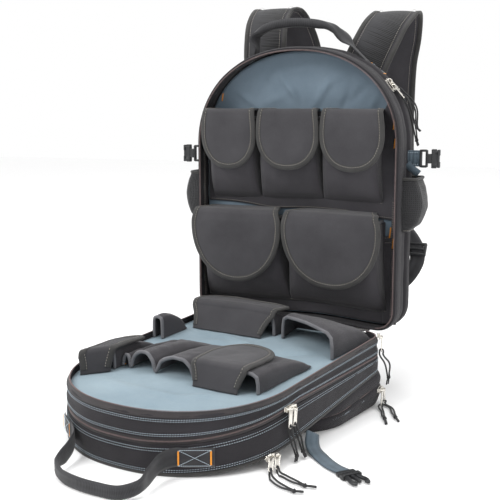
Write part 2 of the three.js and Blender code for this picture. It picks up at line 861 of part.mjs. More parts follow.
function maleBuckle() {
  const root = box(12, buckleHeight * 0.92, 7);
  const middle = box(20, 5, 5, 14, 0, 0);
  const prong = (side) => box(24, 5, 5, 16, side * 10, 0);
  return onStrapLine(join([root, middle, prong(-1), prong(1)]), 15.1, 4);
}

function strapKeeper() {
  return onStrapLine(box(7, webbingWidth * 1.02, 5), 5.3, 3.1);
}

// Zip sliders: along the zip is x, outwards is z and the tabs hang towards minus y

// A pair of sliders meets end to end. Each tab has its shift along the zip and its lean.
function sliders(tabs) {
  const parts = [];
  const radius = tabWidth / 2;
  const bridge = 4;
  tabs.forEach(({ shift, lean }) => {
    parts.push(box(sliderLength, sliderWidth, sliderHeight, shift, 0, sliderHeight / 2));
    parts.push(box(bridge, bridge + 1, bridge, shift, -1.5, sliderHeight + bridge / 2 - 0.5));
    const shape = new THREE.Shape();
    shape.moveTo(-radius, 0);
    shape.lineTo(-radius, radius - tabLength);
    shape.absarc(0, radius - tabLength, radius, Math.PI, 2 * Math.PI, false);
    shape.lineTo(radius, 0);
    shape.closePath();
    const hole = new THREE.Path();
    hole.absarc(0, radius - tabLength, tabHoleRadius, 0, 2 * Math.PI, true);
    shape.holes.push(hole);
    const tab = new THREE.ExtrudeGeometry(shape, { depth: tabThickness, bevelEnabled: false, curveSegments: 4 });
    parts.push(tab.rotateZ(lean).translate(shift, -1, sliderHeight + 1));
  });
  return join(parts);
}

// Where a tab's hole is, in the slider's own frame
function tabHole({ shift, lean }) {
  const hole = new THREE.Vector3(0, tabWidth / 2 - tabLength, 0).applyAxisAngle(alongZ, lean);
  return hole.add(new THREE.Vector3(shift, -1, sliderHeight + 1 + tabThickness / 2));
}

// The frame of a slider on a surface: its middle, the direction of the zip and the outward direction
function seat(at, zip, outward) {
  const up = outward.clone().cross(zip).normalize();
  return new THREE.Matrix4().makeBasis(zip, up, outward).setPosition(at);
}

// A place on the right side of the outline, with the outward direction there
function rightSide(v) {
  const half = packWidth / 2;
  const shoulder = packLength - archHeight;
  if (v < cornerRadius) {
    const up = (v - cornerRadius) / cornerRadius;
    const across = Math.sqrt(1 - up * up);
    return { x: half - cornerRadius + cornerRadius * across, v, outX: across, outV: up };
  }
  if (v < shoulder) return { x: half, v, outX: 1, outV: 0 };
  const lift = (v - shoulder) / archHeight;
  const across = (1 - lift ** archPower) ** (1 / archPower);
  const gradient = new THREE.Vector2(across ** (archPower - 1) / half, lift ** (archPower - 1) / archHeight);
  gradient.normalize();
  return { x: half * across, v, outX: gradient.x, outV: gradient.y };
}

// Cords: loops through the tabs, knotted at the end

// Half of the bend through a tab's hole: towards the knot, and across the tab's plate
const cordBend = [
  { along: 8, aside: 2.8 },
  { along: 3.6, aside: 2.8 },
  { along: 0.5, aside: 2 },
  { along: -0.3, aside: 0 },
];

// The route of one loop, from the knot up one strand, through the hole and down the other strand
function loopRoute(hole, normal, via, knot, spread) {
  const fall = via[0].clone().sub(hole);
  const down = fall.addScaledVector(normal, -fall.dot(normal)).normalize();
  const bend = (side) => cordBend.map(({ along, aside }) => (
    hole.clone().addScaledVector(down, along).addScaledVector(normal, side * aside)
  ));
  const strand = (side) => via.map((point) => point.clone().addScaledVector(spread, side));
  return [
    knot,
    ...strand(1).reverse(),
    ...bend(1),
    ...bend(-1).reverse().slice(1),
    ...strand(-1),
    knot,
  ];
}

// Round sections of a tube, one at each point of its route
function rounds(route, radius, sides) {
  let side = new THREE.Vector3(0.31, 0.87, 0.38);
  return route.map((point, i) => {
    const before = route[Math.max(i - 1, 0)];
    const after = route[Math.min(i + 1, route.length - 1)];
    const tangent = after.clone().sub(before).normalize();
    side = side.clone().addScaledVector(tangent, -side.dot(tangent)).normalize();
    const other = tangent.clone().cross(side);
    return Array.from({ length: sides }, (_, k) => {
      const angle = (2 * Math.PI * k) / sides;
      return point.clone()
        .addScaledVector(side, radius * Math.cos(angle))
        .addScaledVector(other, radius * Math.sin(angle));
    });
  });
}

// Two strands, which meet in the tab's hole, the knot and the tail past it
function pullCord(route, knot, tail) {
  const curve = new THREE.CatmullRomCurve3(route.slice(1, -1), false, 'centripetal');
  const smooth = curve.getPoints(Math.round(1.2 * route.length));
  const radius = cordDiameter / 2;
  const loop = rounds([knot, ...smooth, knot], radius, 8);
  const turn = Math.floor(loop.length / 2);
  const ball = new THREE.SphereGeometry(knotDiameter / 2, 7, 5).translate(knot.x, knot.y, knot.z);
  const end = loft(rounds([knot, tail], radius, 8));
  return join([loft(loop.slice(0, turn + 1)), loft(loop.slice(turn)), ball, end]);
}

// The rear half

const hingeHeight = frontHingeHeight + clearance + rearBands[2].out;
const hinge = new THREE.Group();
const rearHalf = new THREE.Group();
rearHalf.position.z = hingeHeight;

rearHalf.add(piece('rear_gusset', gusset(rear), gussetCloth));
rearHalf.add(piece('rear_lining', lining(rear), rearLiningCloth));
rearHalf.add(piece('back_panel', backPanel(), blackMesh));
rearHalf.add(piece('rear_main_zip', mainZip(rear), zipTape));
rearHalf.add(piece('rear_compartment_zip', grooveZip(rear), zipTape));

const rearPockets = [
  { name: 'upper_pocket_left', left: -0.455, right: -0.208, closed: 0.46, mouth: 0.752, depth: upperPocketDepth },
  { name: 'upper_pocket_middle', left: -0.19, right: 0.117, closed: 0.46, mouth: 0.752, depth: upperPocketDepth },
  { name: 'upper_pocket_right', left: 0.129, right: 0.409, closed: 0.46, mouth: 0.752, depth: upperPocketDepth },
  { name: 'lower_pocket_left', left: -0.482, right: -0.049, closed: 0.044, mouth: 0.379, depth: lowerPocketDepth },
  { name: 'lower_pocket_right', left: -0.037, right: 0.43, closed: 0.044, mouth: 0.379, depth: lowerPocketDepth },
];
const rearFlaps = [
  { name: 'upper_flap_left', left: -0.467, right: -0.188, fold: 0.783, length: 0.22, pocketDepth: upperPocketDepth },
  { name: 'upper_flap_middle', left: -0.178, right: 0.131, fold: 0.783, length: 0.22, pocketDepth: upperPocketDepth },
  { name: 'upper_flap_right', left: 0.142, right: 0.446, fold: 0.783, length: 0.22, pocketDepth: upperPocketDepth },
  { name: 'lower_flap_left', left: -0.512, right: -0.049, fold: 0.407, length: 0.274, pocketDepth: lowerPocketDepth },
  { name: 'lower_flap_right', left: -0.039, right: 0.444, fold: 0.407, length: 0.274, pocketDepth: lowerPocketDepth },
];

// Shares become millimetres
function pocketSizes({ left, right, closed, closedSlant = 0, mouth, slant = 0, depth }) {
  return {
    left: left * packWidth,
    right: right * packWidth,
    closed: closed * packLength,
    closedSlant: closedSlant * packLength,
    mouth: mouth * packLength,
    slant: slant * packLength,
    depth,
  };
}

function flapSizes({ left, right, fold, length, pocketDepth, lean = 0, slant = 0 }) {
  const overPocket = 1.06 * pocketDepth + flapThickness + 3.4;
  return {
    left: left * packWidth,
    right: right * packWidth,
    fold: fold * packLength,
    length: length * packLength,
    height: overPocket,
    lean,
    slant: slant * packLength,
  };
}

rearPockets.forEach((row) => rearHalf.add(piece(row.name, pocket(rear.onLining, pocketSizes(row)), cloth)));
rearFlaps.forEach((row) => rearHalf.add(piece(row.name, flap(rear.onLining, flapSizes(row)), cloth)));

rearHalf.add(piece('top_handle', topHandle(), blackWebbing));
const strapStates = [
  { side: -1, tag: 'left', course: leftStrapCourse },
  { side: 1, tag: 'right', course: rightStrapCourse },
];
strapStates.forEach(({ side, tag, course }) => {
  const padded = strapStations(course, shoulderStrapWidth, shoulderStrapThickness);
  rearHalf.add(piece(`shoulder_strap_${tag}`, band(padded, 18, true), cloth));
  rearHalf.add(piece(`lower_strap_${tag}`, lowerStrap(side), blackWebbing));
  const onSide = (y, v, rise) => new THREE.Vector3(side * (packWidth / 2 + rearBands[2].out + rise), y, v);
  const bottlePocket = pocket(onSide, {
    left: rearDepth * 0.27,
    right: rearDepth * 0.95,
    closed: packLength * 0.346,
    mouth: packLength * 0.537,
    depth: sidePocketDepth,
    rows: sidePocketRows,
  });
  rearHalf.add(piece(`mesh_pocket_${tag}`, bottlePocket, blackMesh));
  rearHalf.add(piece(`side_webbing_${tag}`, sideWebbing(side), blueWebbing));
  rearHalf.add(piece(`side_buckle_${tag}`, sideBuckle(side), blackPlastic));
});

// The front half, turned a little against the rear half

const turned = new THREE.Group();
turned.rotation.z = frontTurn;
const frontHalf = new THREE.Group();
frontHalf.position.x = frontShift;
turned.add(frontHalf);

frontHalf.add(piece('front_gusset', gusset(front), gussetCloth));
frontHalf.add(piece('front_lining', lining(front), frontLiningCloth));
frontHalf.add(piece('front_base', frontBasePanel(), gussetCloth));
frontHalf.add(piece('front_main_zip', mainZip(front), zipTape));
frontHalf.add(piece('front_middle_zip', grooveZip(front), zipTape));
frontHalf.add(piece('outer_pocket', outerPocket(), gussetCloth));

const frontPockets = [
  { name: 'left_flap_pocket', left: -0.418, right: -0.345, closed: 0.467, mouth: 0.745, slant: -0.1, depth: leftFlapPocketDepth },
  { name: 'right_flap_pocket', left: 0.067, right: 0.394, closed: 0.386, mouth: 0.678, depth: rightFlapPocketDepth },
  { name: 'hinge_flap_pocket', left: -0.424, right: 0.036, closed: 0.054, closedSlant: -0.072, mouth: 0.14, depth: hingePocketDepth },
  { name: 'corner_pocket_left', left: -0.491, right: -0.436, closed: 0.215, mouth: 0.355, depth: cornerPocketDepth },
  { name: 'corner_pocket_right', left: 0.061, right: 0.448, closed: 0.028, mouth: 0.215, slant: 0.145, depth: openPocketDepth },
];
const frontFlaps = [
  { name: 'left_pocket_flap', left: -0.43, right: -0.321, fold: 0.762, length: 0.175, pocketDepth: leftFlapPocketDepth, lean: 3, slant: -0.1 },
  { name: 'right_pocket_flap', left: 0.061, right: 0.345, fold: 0.695, length: 0.215, pocketDepth: rightFlapPocketDepth, lean: 8 },
  { name: 'hinge_pocket_flap', left: -0.473, right: 0.042, fold: 0.145, length: 0.103, pocketDepth: hingePocketDepth, lean: 20 },
];
frontPockets.forEach((row) => frontHalf.add(piece(row.name, pocket(front.onLining, pocketSizes(row)), cloth)));
frontFlaps.forEach((row) => frontHalf.add(piece(row.name, flap(front.onLining, flapSizes(row)), cloth)));
const sleeveStrip = {
  seams: [-0.335, -0.291, -0.152, 0.06].map((share) => share * packWidth),
  closed: 0.35 * packLength,
  mouth: 0.666 * packLength,
  depth: sleeveDepth,
};
frontHalf.add(piece('tool_sleeves', sleeves(front.onLining, sleeveStrip), cloth));

frontHalf.add(piece('front_handle', frontHandle(), blackWebbing));
frontHalf.add(piece('compression_strap', compressionStrap(), blueWebbing));
frontHalf.add(piece('strap_keeper', strapKeeper(), blackWebbing));
frontHalf.add(piece('male_buckle', maleBuckle(), blackPlastic));

hangDown(rearHalf);
hinge.add(piece('hinge_cloth', hingeCloth(), cloth));
hinge.add(rearHalf, turned);

// Sliders where the photo-side zips end, and the pull cords that hang from their tabs

function frontSeat(v, outset, height, tilt = 0) {
  const side = rightSide(v);
  const level = new THREE.Vector3(side.outX, -side.outV, 0);
  const at = new THREE.Vector3(side.x + side.outX * outset, -side.v - side.outV * outset, height);
  const outward = level.clone().multiplyScalar(Math.cos(tilt)).addScaledVector(alongZ, Math.sin(tilt));
  return seat(at, alongZ.clone().cross(level), outward);
}

function rearSeat(v, outset) {
  const side = rightSide(v);
  const outward = new THREE.Vector3(side.outX, 0, side.outV);
  const depth = rear.at(0, v, rearZipShare).y;
  const at = new THREE.Vector3(side.x + side.outX * outset, depth, side.v + side.outV * outset);
  return seat(at, new THREE.Vector3(-side.outV, 0, side.outX), outward);
}

const bandTop = (bands) => Math.max(...bands.map((row) => row.out));
const grooveTop = (half) => between(half.bands, 'share', 'out', half.zipShare) + coilWidth + 2 * clearance;
const halfPair = sliderLength / 2 - 0.2;
const middleV = packLength * 0.663;
const baseV = packLength * 0.74;
const baseTilt = 0.9;
const pocketV = packLength * 0.052;
const mainV = packLength * 0.04;
const edgeReach = bandTop(frontBands) + 0.2;
const sliderSets = {
  main_slider: {
    half: frontHalf,
    frame: frontSeat(mainV, bandTop(frontBands) * 0.4, frontRim(mainV) - coilHeight / 2),
    tabs: [{ shift: 0, lean: 0.1 }],
  },
  middle_sliders: {
    half: frontHalf,
    frame: frontSeat(middleV, grooveTop(front), front.at(0, middleV, frontZipShare).z),
    tabs: [{ shift: -halfPair, lean: -0.05 }, { shift: halfPair, lean: -0.1 }],
  },
  base_sliders: {
    half: frontHalf,
    frame: frontSeat(baseV, edgeReach, frontBase(baseV) - 3.5, baseTilt),
    tabs: [{ shift: -halfPair, lean: -0.7 }, { shift: halfPair, lean: -0.7 }],
  },
  pocket_sliders: {
    half: frontHalf,
    frame: frontSeat(pocketV, bandTop(outerPocketBands) - clearance, frontBase(pocketV) * 0.5),
    tabs: [{ shift: -halfPair, lean: -0.12 }, { shift: halfPair, lean: 0.25 }],
  },
  rear_sliders: {
    half: rearHalf,
    frame: rearSeat(packLength * 0.862, grooveTop(rear)),
    tabs: [{ shift: -halfPair, lean: -1.25 }, { shift: halfPair, lean: -0.85 }],
  },
};
Object.entries(sliderSets).forEach(([name, { half, frame, tabs }]) => {
  half.add(piece(name, sliders(tabs).applyMatrix4(frame), brightMetal));
});

// The object stands on the origin, under the middle of its box without the loose cords
const tool_backpack = new THREE.Group();
tool_backpack.add(hinge);
tool_backpack.updateMatrixWorld(true);
const bounds = new THREE.Box3().setFromObject(hinge, true);

// Pull cords: which tab, the way down from its hole, the knot, its tail and how the strands spread
const cords = [
  { name: 'main_cord', set: 'main_slider', tab: 0, via: [[168, -44, 66]], knot: [169, -35, 41], tail: [168, -39, 30], spread: [3.5, 1, 0] },
  { name: 'middle_cord_left', set: 'middle_sliders', tab: 0, via: [[111, -318, 27]], knot: [115, -313, 7], tail: [117, -323, 3], spread: [2, 1, 0] },
  { name: 'middle_cord_right', set: 'middle_sliders', tab: 1, via: [[114, -300, 27]], knot: [118, -297, 8], tail: [125, -306, 4], spread: [2, 1, 0] },
  { name: 'base_cord_left', set: 'base_sliders', tab: 0, via: [[112, -391, 3], [128, -403, 2.6]], knot: [145, -413, 4], tail: [157, -409, 3], spread: [1.6, 3, 0] },
  { name: 'base_cord_right', set: 'base_sliders', tab: 1, via: [[119, -373, 3], [136, -383, 2.6]], knot: [152, -393, 4], tail: [167, -390, 3], spread: [1.6, 3, 0] },
  { name: 'pocket_cord_left', set: 'pocket_sliders', tab: 0, via: [[173, -87, 2.6], [178, -104, 2.6]], knot: [184, -119, 4], tail: [191, -138, 2], spread: [1.8, -0.6, 0] },
  { name: 'pocket_cord_right', set: 'pocket_sliders', tab: 1, via: [[180, -64, 2.6], [189, -86, 2.6]], knot: [197, -107, 4], tail: [205, -120, 2], spread: [2.6, -1, 0] },
  { name: 'rear_cord_lower', set: 'rear_sliders', tab: 0, via: [[168, 92, 438], [174, 90, 416]], knot: [176, 96, 399], tail: [177, 105, 390], spread: [1.5, 1.5, 0] },
  { name: 'rear_cord_upper', set: 'rear_sliders', tab: 1, via: [[172, 98, 452]], knot: [174, 104, 419], tail: [181, 102, 413], spread: [1.5, 1.5, 0] },
];
const place = (numbers) => new THREE.Vector3(...numbers);
const looped = cords.map(({ name, set, tab, via, knot, tail, spread }) => {
  const { half, frame, tabs } = sliderSets[set];
  const matrix = new THREE.Matrix4().multiplyMatrices(half.matrixWorld, frame);
  const hole = tabHole(tabs[tab]).applyMatrix4(matrix);
  const normal = alongZ.clone().transformDirection(matrix);
  const route = loopRoute(hole, normal, via.map(place), place(knot), place(spread));
  return piece(name, pullCord(route, place(knot), place(tail)), cordCloth);
});
hinge.add(...looped);
const middle = bounds.getCenter(new THREE.Vector3());
hinge.position.set(-middle.x, -middle.y, -bounds.min.z);

export default tool_backpack;
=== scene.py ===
"""Tool backpack opened flat like a clamshell: the looks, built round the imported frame.

Lengths inside this script are millimetres about the middle of the hinge, on the floor.
row() turns them into the frame's metres.
"""

import math

import bmesh
import bpy
import numpy as np
from mathutils import Matrix, Vector, noise


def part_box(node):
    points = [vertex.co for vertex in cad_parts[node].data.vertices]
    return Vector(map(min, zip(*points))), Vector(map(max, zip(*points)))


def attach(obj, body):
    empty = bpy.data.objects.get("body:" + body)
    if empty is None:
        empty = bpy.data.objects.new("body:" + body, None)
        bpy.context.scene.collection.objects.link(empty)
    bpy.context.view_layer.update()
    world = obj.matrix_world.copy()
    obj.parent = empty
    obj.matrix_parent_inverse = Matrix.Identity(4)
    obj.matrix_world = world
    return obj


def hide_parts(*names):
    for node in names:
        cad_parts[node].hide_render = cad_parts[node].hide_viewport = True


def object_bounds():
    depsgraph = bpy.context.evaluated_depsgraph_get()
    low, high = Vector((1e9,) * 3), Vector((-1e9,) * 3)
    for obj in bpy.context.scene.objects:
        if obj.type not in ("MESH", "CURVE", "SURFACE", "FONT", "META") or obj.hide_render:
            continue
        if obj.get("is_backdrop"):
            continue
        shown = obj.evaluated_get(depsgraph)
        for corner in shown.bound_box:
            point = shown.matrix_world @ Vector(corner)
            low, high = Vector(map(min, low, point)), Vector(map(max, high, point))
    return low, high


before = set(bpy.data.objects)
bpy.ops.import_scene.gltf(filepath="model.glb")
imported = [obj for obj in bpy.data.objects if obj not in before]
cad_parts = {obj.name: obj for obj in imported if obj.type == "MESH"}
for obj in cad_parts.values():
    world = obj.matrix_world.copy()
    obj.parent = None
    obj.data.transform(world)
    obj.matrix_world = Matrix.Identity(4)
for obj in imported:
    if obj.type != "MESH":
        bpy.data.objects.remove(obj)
bounds_at_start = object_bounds()

# Sizes shared with the solids
PACK_WIDTH = 330
PACK_LENGTH = 426
ARCH_HEIGHT = 150
ARCH_POWER = 2.15
CORNER = 28
REAR_DEPTH = 88
REAR_LINING = 40
BACK_PANEL = 12
FRONT_END = 84
FRONT_HINGE = 111
OUTER_POCKET = 56
FRONT_LINING = 12
TURN = math.radians(-12)
FRONT_SHIFT = -4
COIL = 4
CLEAR = 0.4
WEBBING = 25
HINGE_HEIGHT = FRONT_HINGE + CLEAR + 3.5
STRAP_WIDTH = 68
STRAP_THICK = 10
STAND_OFF = 98
CORD = 2.6
REAR_SAG = 10

low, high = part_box("rear_gusset")
OFFSET = Vector(((low.x + high.x) * 500, high.y * 1000 - REAR_DEPTH, 0))
Z = Vector((0, 0, 1))


def row(p):
    return (p + OFFSET) * 0.001


def hinge_share(v):
    return min(max(1 - v / PACK_LENGTH, 0), 1)


def sag(x, v):
    """How far the rear half hangs down at the right end of the hinge."""
    t = min(max((x / PACK_WIDTH - 0.05) / 0.45, 0), 1)
    return REAR_SAG * t * t * (3 - 2 * t) * hinge_share(v) ** 2


def rear(x, y, v):
    return Vector((x, y, v + HINGE_HEIGHT - sag(x, v)))


def front(x, v, z):
    a = x + FRONT_SHIFT
    return Vector((
        a * math.cos(TURN) + v * math.sin(TURN),
        a * math.sin(TURN) - v * math.cos(TURN),
        z,
    ))


# Camera, from the photo's perspective

camera = bpy.data.objects.new("camera", bpy.data.cameras.new("camera"))
bpy.context.collection.objects.link(camera)
camera.location = row(Vector((479.6, -1398.2, 450.3)))
camera.rotation_mode = "QUATERNION"
camera.rotation_quaternion = Vector((-0.3639, 0.9191, -0.1512)).to_track_quat("-Z", "Y")
camera.data.lens = 66.83
camera.data.sensor_width = 36
camera.data.clip_start = 0.05
camera.data.clip_end = 30
bpy.context.scene.camera = camera


# Values from short tables

def smooth(rows, at, value):
    """Smooth value of a column at a place in a table of (place, value, value, ...) rows."""
    xs = [r[0] for r in rows]
    ys = [r[value] for r in rows]
    if at <= xs[0]:
        return ys[0]
    if at >= xs[-1]:
        return ys[-1]
    i = max(k for k in range(len(xs) - 1) if xs[k] <= at)
    span = xs[i + 1] - xs[i]
    t = (at - xs[i]) / span

    def slope(k):
        if k in (0, len(xs) - 1):
            return 0
        left = (ys[k] - ys[k - 1]) / (xs[k] - xs[k - 1])
        right = (ys[k + 1] - ys[k]) / (xs[k + 1] - xs[k])
        return 0 if left * right <= 0 else 2 * left * right / (left + right)

    a, b = slope(i) * span, slope(i + 1) * span
    return (ys[i] * (2 * t**3 - 3 * t**2 + 1) + a * (t**3 - 2 * t**2 + t)
            + ys[i + 1] * (3 * t**2 - 2 * t**3) + b * (t**3 - t**2))


def linear(rows, at, value):
    return float(np.interp(at, [r[0] for r in rows], [r[value] for r in rows]))


def wrinkle(x, y, z, scale, amount):
    """Soft uneven folds, the same on every run."""
    return amount * noise.noise(Vector((x / scale, y / scale, z / scale)))


# Outline of both halves: x across, v from the hinge edge, by the length s along it

def outline_points():
    half, inner = PACK_WIDTH / 2, PACK_WIDTH / 2 - CORNER
    shoulder = PACK_LENGTH - ARCH_HEIGHT
    points = [(x, 0.0) for x in np.linspace(-inner, inner, 60)]
    for a in np.linspace(-math.pi / 2, 0, 20)[1:]:
        points.append((inner + CORNER * math.cos(a), CORNER + CORNER * math.sin(a)))
    points += [(half, v) for v in np.linspace(CORNER, shoulder, 60)[1:]]
    for a in np.linspace(0, math.pi, 400)[1:-1]:
        across, up = math.cos(a), math.sin(a)
        power = 2 / ARCH_POWER
        points.append((math.copysign(half * abs(across) ** power, across),
                shoulder + ARCH_HEIGHT * up**power))
    points += [(-half, v) for v in np.linspace(shoulder, CORNER, 60)]
    for a in np.linspace(math.pi, 1.5 * math.pi, 20)[1:]:
        points.append((-inner + CORNER * math.cos(a), CORNER + CORNER * math.sin(a)))
    return np.array(points)


raw = outline_points()
lengths = np.concatenate([[0], np.cumsum(np.hypot(*np.diff(raw, axis=0).T))])
PERIMETER = lengths[-1]
ZIP_START = PACK_WIDTH - 2 * CORNER


def edge(s, outset=0.0):
    """(x, v, outward x, outward v) at length s along the outline, moved outwards."""
    s = s % PERIMETER
    x, v = np.interp(s, lengths, raw[:, 0]), np.interp(s, lengths, raw[:, 1])
    a, b = (s - 4) % PERIMETER, (s + 4) % PERIMETER
    dx = np.interp(b, lengths, raw[:, 0]) - np.interp(a, lengths, raw[:, 0])
    dv = np.interp(b, lengths, raw[:, 1]) - np.interp(a, lengths, raw[:, 1])
    size = math.hypot(dx, dv)
    return float(x + outset * dv / size), float(v - outset * dx / size), dv / size, -dx / size


REAR_TOP = COIL + CLEAR
REAR_BANDS = [
    (0, 0.8), (0.04, 4.0), (0.14, 6.2), (0.25, 5.8), (0.31, 4.0), (0.335, 0.8), (0.43, 0.6), (0.455, 2.5),
    (0.52, 3.1), (0.66, 2.2), (0.78, 3.0), (0.9, 2.6), (0.955, 1.6), (1, 0.1),
]
FRONT_BANDS = [
    (0, 1.0), (0.04, 3.0), (0.09, 3.4), (0.22, 3.9), (0.36, 3.7), (0.415, 3.1), (0.44, 1.1), (0.56, 1.1),
    (0.585, 3.0), (0.66, 3.5), (0.74, 1.9), (0.8, 1.6), (0.86, 2.6), (0.93, 2.9), (0.97, 1.6), (1, 0.1),
]
FRONT_COURSE = [(0, 0.45), (0.35, 0.63), (0.6, 0.74), (0.72, 0.7), (1, 0.54)]


def front_base(v):
    return OUTER_POCKET * hinge_share(v)


def front_rim(v):
    return FRONT_END + (FRONT_HINGE - FRONT_END) * hinge_share(v)


def front_height(v, share):
    course = linear(FRONT_COURSE, v / PACK_LENGTH, 1)
    at = share / 0.5 * course if share < 0.5 else course + (share - 0.5) / 0.5 * (1 - course)
    base = front_base(v)
    return base + at * (front_rim(v) - COIL - CLEAR - base)


def rear_wall(s, share, extra=0.0):
    """A point of the rear gusset and its outward direction."""
    x, v, ox, ov = edge(s, smooth(REAR_BANDS, share, 1) + extra)
    return rear(x, REAR_DEPTH - share * (REAR_DEPTH - REAR_TOP), v), Vector((ox, 0, ov))


def front_wall(s, share, extra=0.0):
    x, v, ox, ov = edge(s, smooth(FRONT_BANDS, share, 1) + extra)
    here = front(x, v, front_height(v, share))
    return here, (front(x + ox, v + ov, here.z) - front(x, v, here.z))


# Materials

def nodes_of(material):
    material.use_nodes = True
    tree = material.node_tree
    tree.nodes.clear()
    out = tree.nodes.new("ShaderNodeOutputMaterial")
    shader = tree.nodes.new("ShaderNodeBsdfPrincipled")
    tree.links.new(shader.outputs[0], out.inputs[0])
    return tree, shader


def add(tree, kind, **values):
    node = tree.nodes.new(kind)
    for key, value in values.items():
        if key.startswith("in_"):
            socket = key[3:]
            node.inputs[int(socket) if socket.isdigit() else socket].default_value = value
        else:
            setattr(node, key, value)
    return node


def maths(tree, operation, a, b=None):
    node = add(tree, "ShaderNodeMath", operation=operation)
    for socket, value in zip(node.inputs, (a, b)):
        if value is None:
            continue
        if isinstance(value, (int, float)):
            socket.default_value = value
        else:
            tree.links.new(value, socket)
    return node.outputs[0]


def rgb(text):
    parts = [int(text[i:i + 2], 16) / 255 for i in (0, 2, 4)]
    return tuple(p / 12.92 if p <= 0.04045 else ((p + 0.055) / 1.055) ** 2.4 for p in parts) + (1.0,)


def mix_colour(tree, factor, a, b, blend="MIX"):
    node = add(tree, "ShaderNodeMix", data_type="RGBA", blend_type=blend)
    for socket, value in ((node.inputs[0], factor), (node.inputs[6], a), (node.inputs[7], b)):
        if isinstance(value, (int, float, tuple)):
            socket.default_value = value
        else:
            tree.links.new(value, socket)
    return node.outputs[2]


def fabric(name, dark, light, thread=0.9, relief=0.35, rough=0.86, sheen=0.18, patch=14, slub=0.5):
    """Plain weave on the cloth's own map in millimetres, with slubs, faded patches, fuzz and painted shade
    in the weave's low points.
    """
    material = bpy.data.materials.new(name)
    tree, shader = nodes_of(material)
    link = tree.links.new
    uv = add(tree, "ShaderNodeUVMap", uv_map="cloth").outputs[0]
    spot = add(tree, "ShaderNodeTexCoord").outputs["Object"]
    split = add(tree, "ShaderNodeSeparateXYZ")
    link(uv, split.inputs[0])
    u = maths(tree, "MULTIPLY", split.outputs[0], math.pi / thread)
    v = maths(tree, "MULTIPLY", split.outputs[1], math.pi / thread)
    warp = maths(tree, "ABSOLUTE", maths(tree, "SINE", u))
    weft = maths(tree, "ABSOLUTE", maths(tree, "SINE", v))
    over = maths(tree, "GREATER_THAN",
        maths(tree, "MULTIPLY", maths(tree, "SINE", u), maths(tree, "SINE", v)), 0.0)
    under = maths(tree, "SUBTRACT", 1.0, over)
    height = maths(tree, "ADD", maths(tree, "MULTIPLY", warp, over), maths(tree, "MULTIPLY", weft, under))
    slubs = add(tree, "ShaderNodeTexNoise", in_Scale=900.0, in_Detail=2.0)
    link(spot, slubs.inputs["Vector"])
    fade = add(tree, "ShaderNodeTexNoise", in_Scale=float(patch), in_Detail=5.0, in_Roughness=0.6)
    link(spot, fade.inputs["Vector"])
    tone = maths(tree, "MULTIPLY", maths(tree, "SUBTRACT", fade.outputs[0], 0.5), 1.1)
    grain = maths(tree, "MULTIPLY", maths(tree, "SUBTRACT", slubs.outputs[0], 0.5), slub)
    # Painted shade: the colour is darker where the weave's height is low.
    weave_shade = maths(tree, "MULTIPLY", maths(tree, "SUBTRACT", height, 0.6), 0.4)
    total = maths(tree, "ADD", maths(tree, "ADD", tone, grain), maths(tree, "ADD", weave_shade, 0.5))
    clamp = add(tree, "ShaderNodeClamp")
    link(total, clamp.inputs[0])
    link(mix_colour(tree, clamp.outputs[0], rgb(dark), rgb(light)), shader.inputs["Base Color"])
    rough_value = maths(tree, "ADD", maths(tree, "MULTIPLY", slubs.outputs[0], 0.14), rough - 0.07)
    link(rough_value, shader.inputs["Roughness"])
    shader.inputs["Sheen Weight"].default_value = sheen
    shader.inputs["Sheen Roughness"].default_value = 0.45
    shader.inputs["Specular IOR Level"].default_value = 0.3
    bump = add(tree, "ShaderNodeBump", in_Strength=relief, in_Distance=0.0004)
    link(maths(tree, "ADD", height, maths(tree, "MULTIPLY", slubs.outputs[0], 0.8)), bump.inputs["Height"])
    link(bump.outputs[0], shader.inputs["Normal"])
    return material


def webbing(name, dark, light, rib=1.7, rough=0.72, sheen=0.12):
    """Ribbed webbing: ribs across and fine lines along on the cloth's own map in millimetres, with painted
    light on the ribs and painted shade between them.
    """
    material = bpy.data.materials.new(name)
    tree, shader = nodes_of(material)
    link = tree.links.new
    uv = add(tree, "ShaderNodeUVMap", uv_map="cloth").outputs[0]
    spot = add(tree, "ShaderNodeTexCoord").outputs["Object"]
    split = add(tree, "ShaderNodeSeparateXYZ")
    link(uv, split.inputs[0])
    across = maths(tree, "MULTIPLY", split.outputs[1], 2 * math.pi / 3.1)
    zig = maths(tree, "MULTIPLY", maths(tree, "SINE", across), 0.9)
    along = maths(tree, "ADD", maths(tree, "MULTIPLY", split.outputs[0], 2 * math.pi / rib), zig)
    ribs = maths(tree, "ADD", maths(tree, "MULTIPLY", maths(tree, "SINE", along), 0.5), 0.5)
    fine = maths(tree, "ADD",
        maths(tree, "MULTIPLY", maths(tree, "SINE", maths(tree, "MULTIPLY", across, 3.0)), 0.25), 0.25)
    height = maths(tree, "ADD", ribs, fine)
    cloud = add(tree, "ShaderNodeTexNoise", in_Scale=60.0, in_Detail=4.0)
    link(spot, cloud.inputs["Vector"])
    # Painted light and shade: the colour follows the rib height, lighter on the ribs and darker between
    # them; the cloud is random tone.
    factor = maths(tree, "ADD", maths(tree, "MULTIPLY", height, 0.55),
        maths(tree, "SUBTRACT", cloud.outputs[0], 0.35))
    clamp = add(tree, "ShaderNodeClamp")
    link(factor, clamp.inputs[0])
    link(mix_colour(tree, clamp.outputs[0], rgb(dark), rgb(light)), shader.inputs["Base Color"])
    shader.inputs["Roughness"].default_value = rough
    shader.inputs["Sheen Weight"].default_value = sheen
    shader.inputs["Specular IOR Level"].default_value = 0.35
    bump = add(tree, "ShaderNodeBump", in_Strength=0.5, in_Distance=0.0005)
    link(height, bump.inputs["Height"])
    link(bump.outputs[0], shader.inputs["Normal"])
    return material


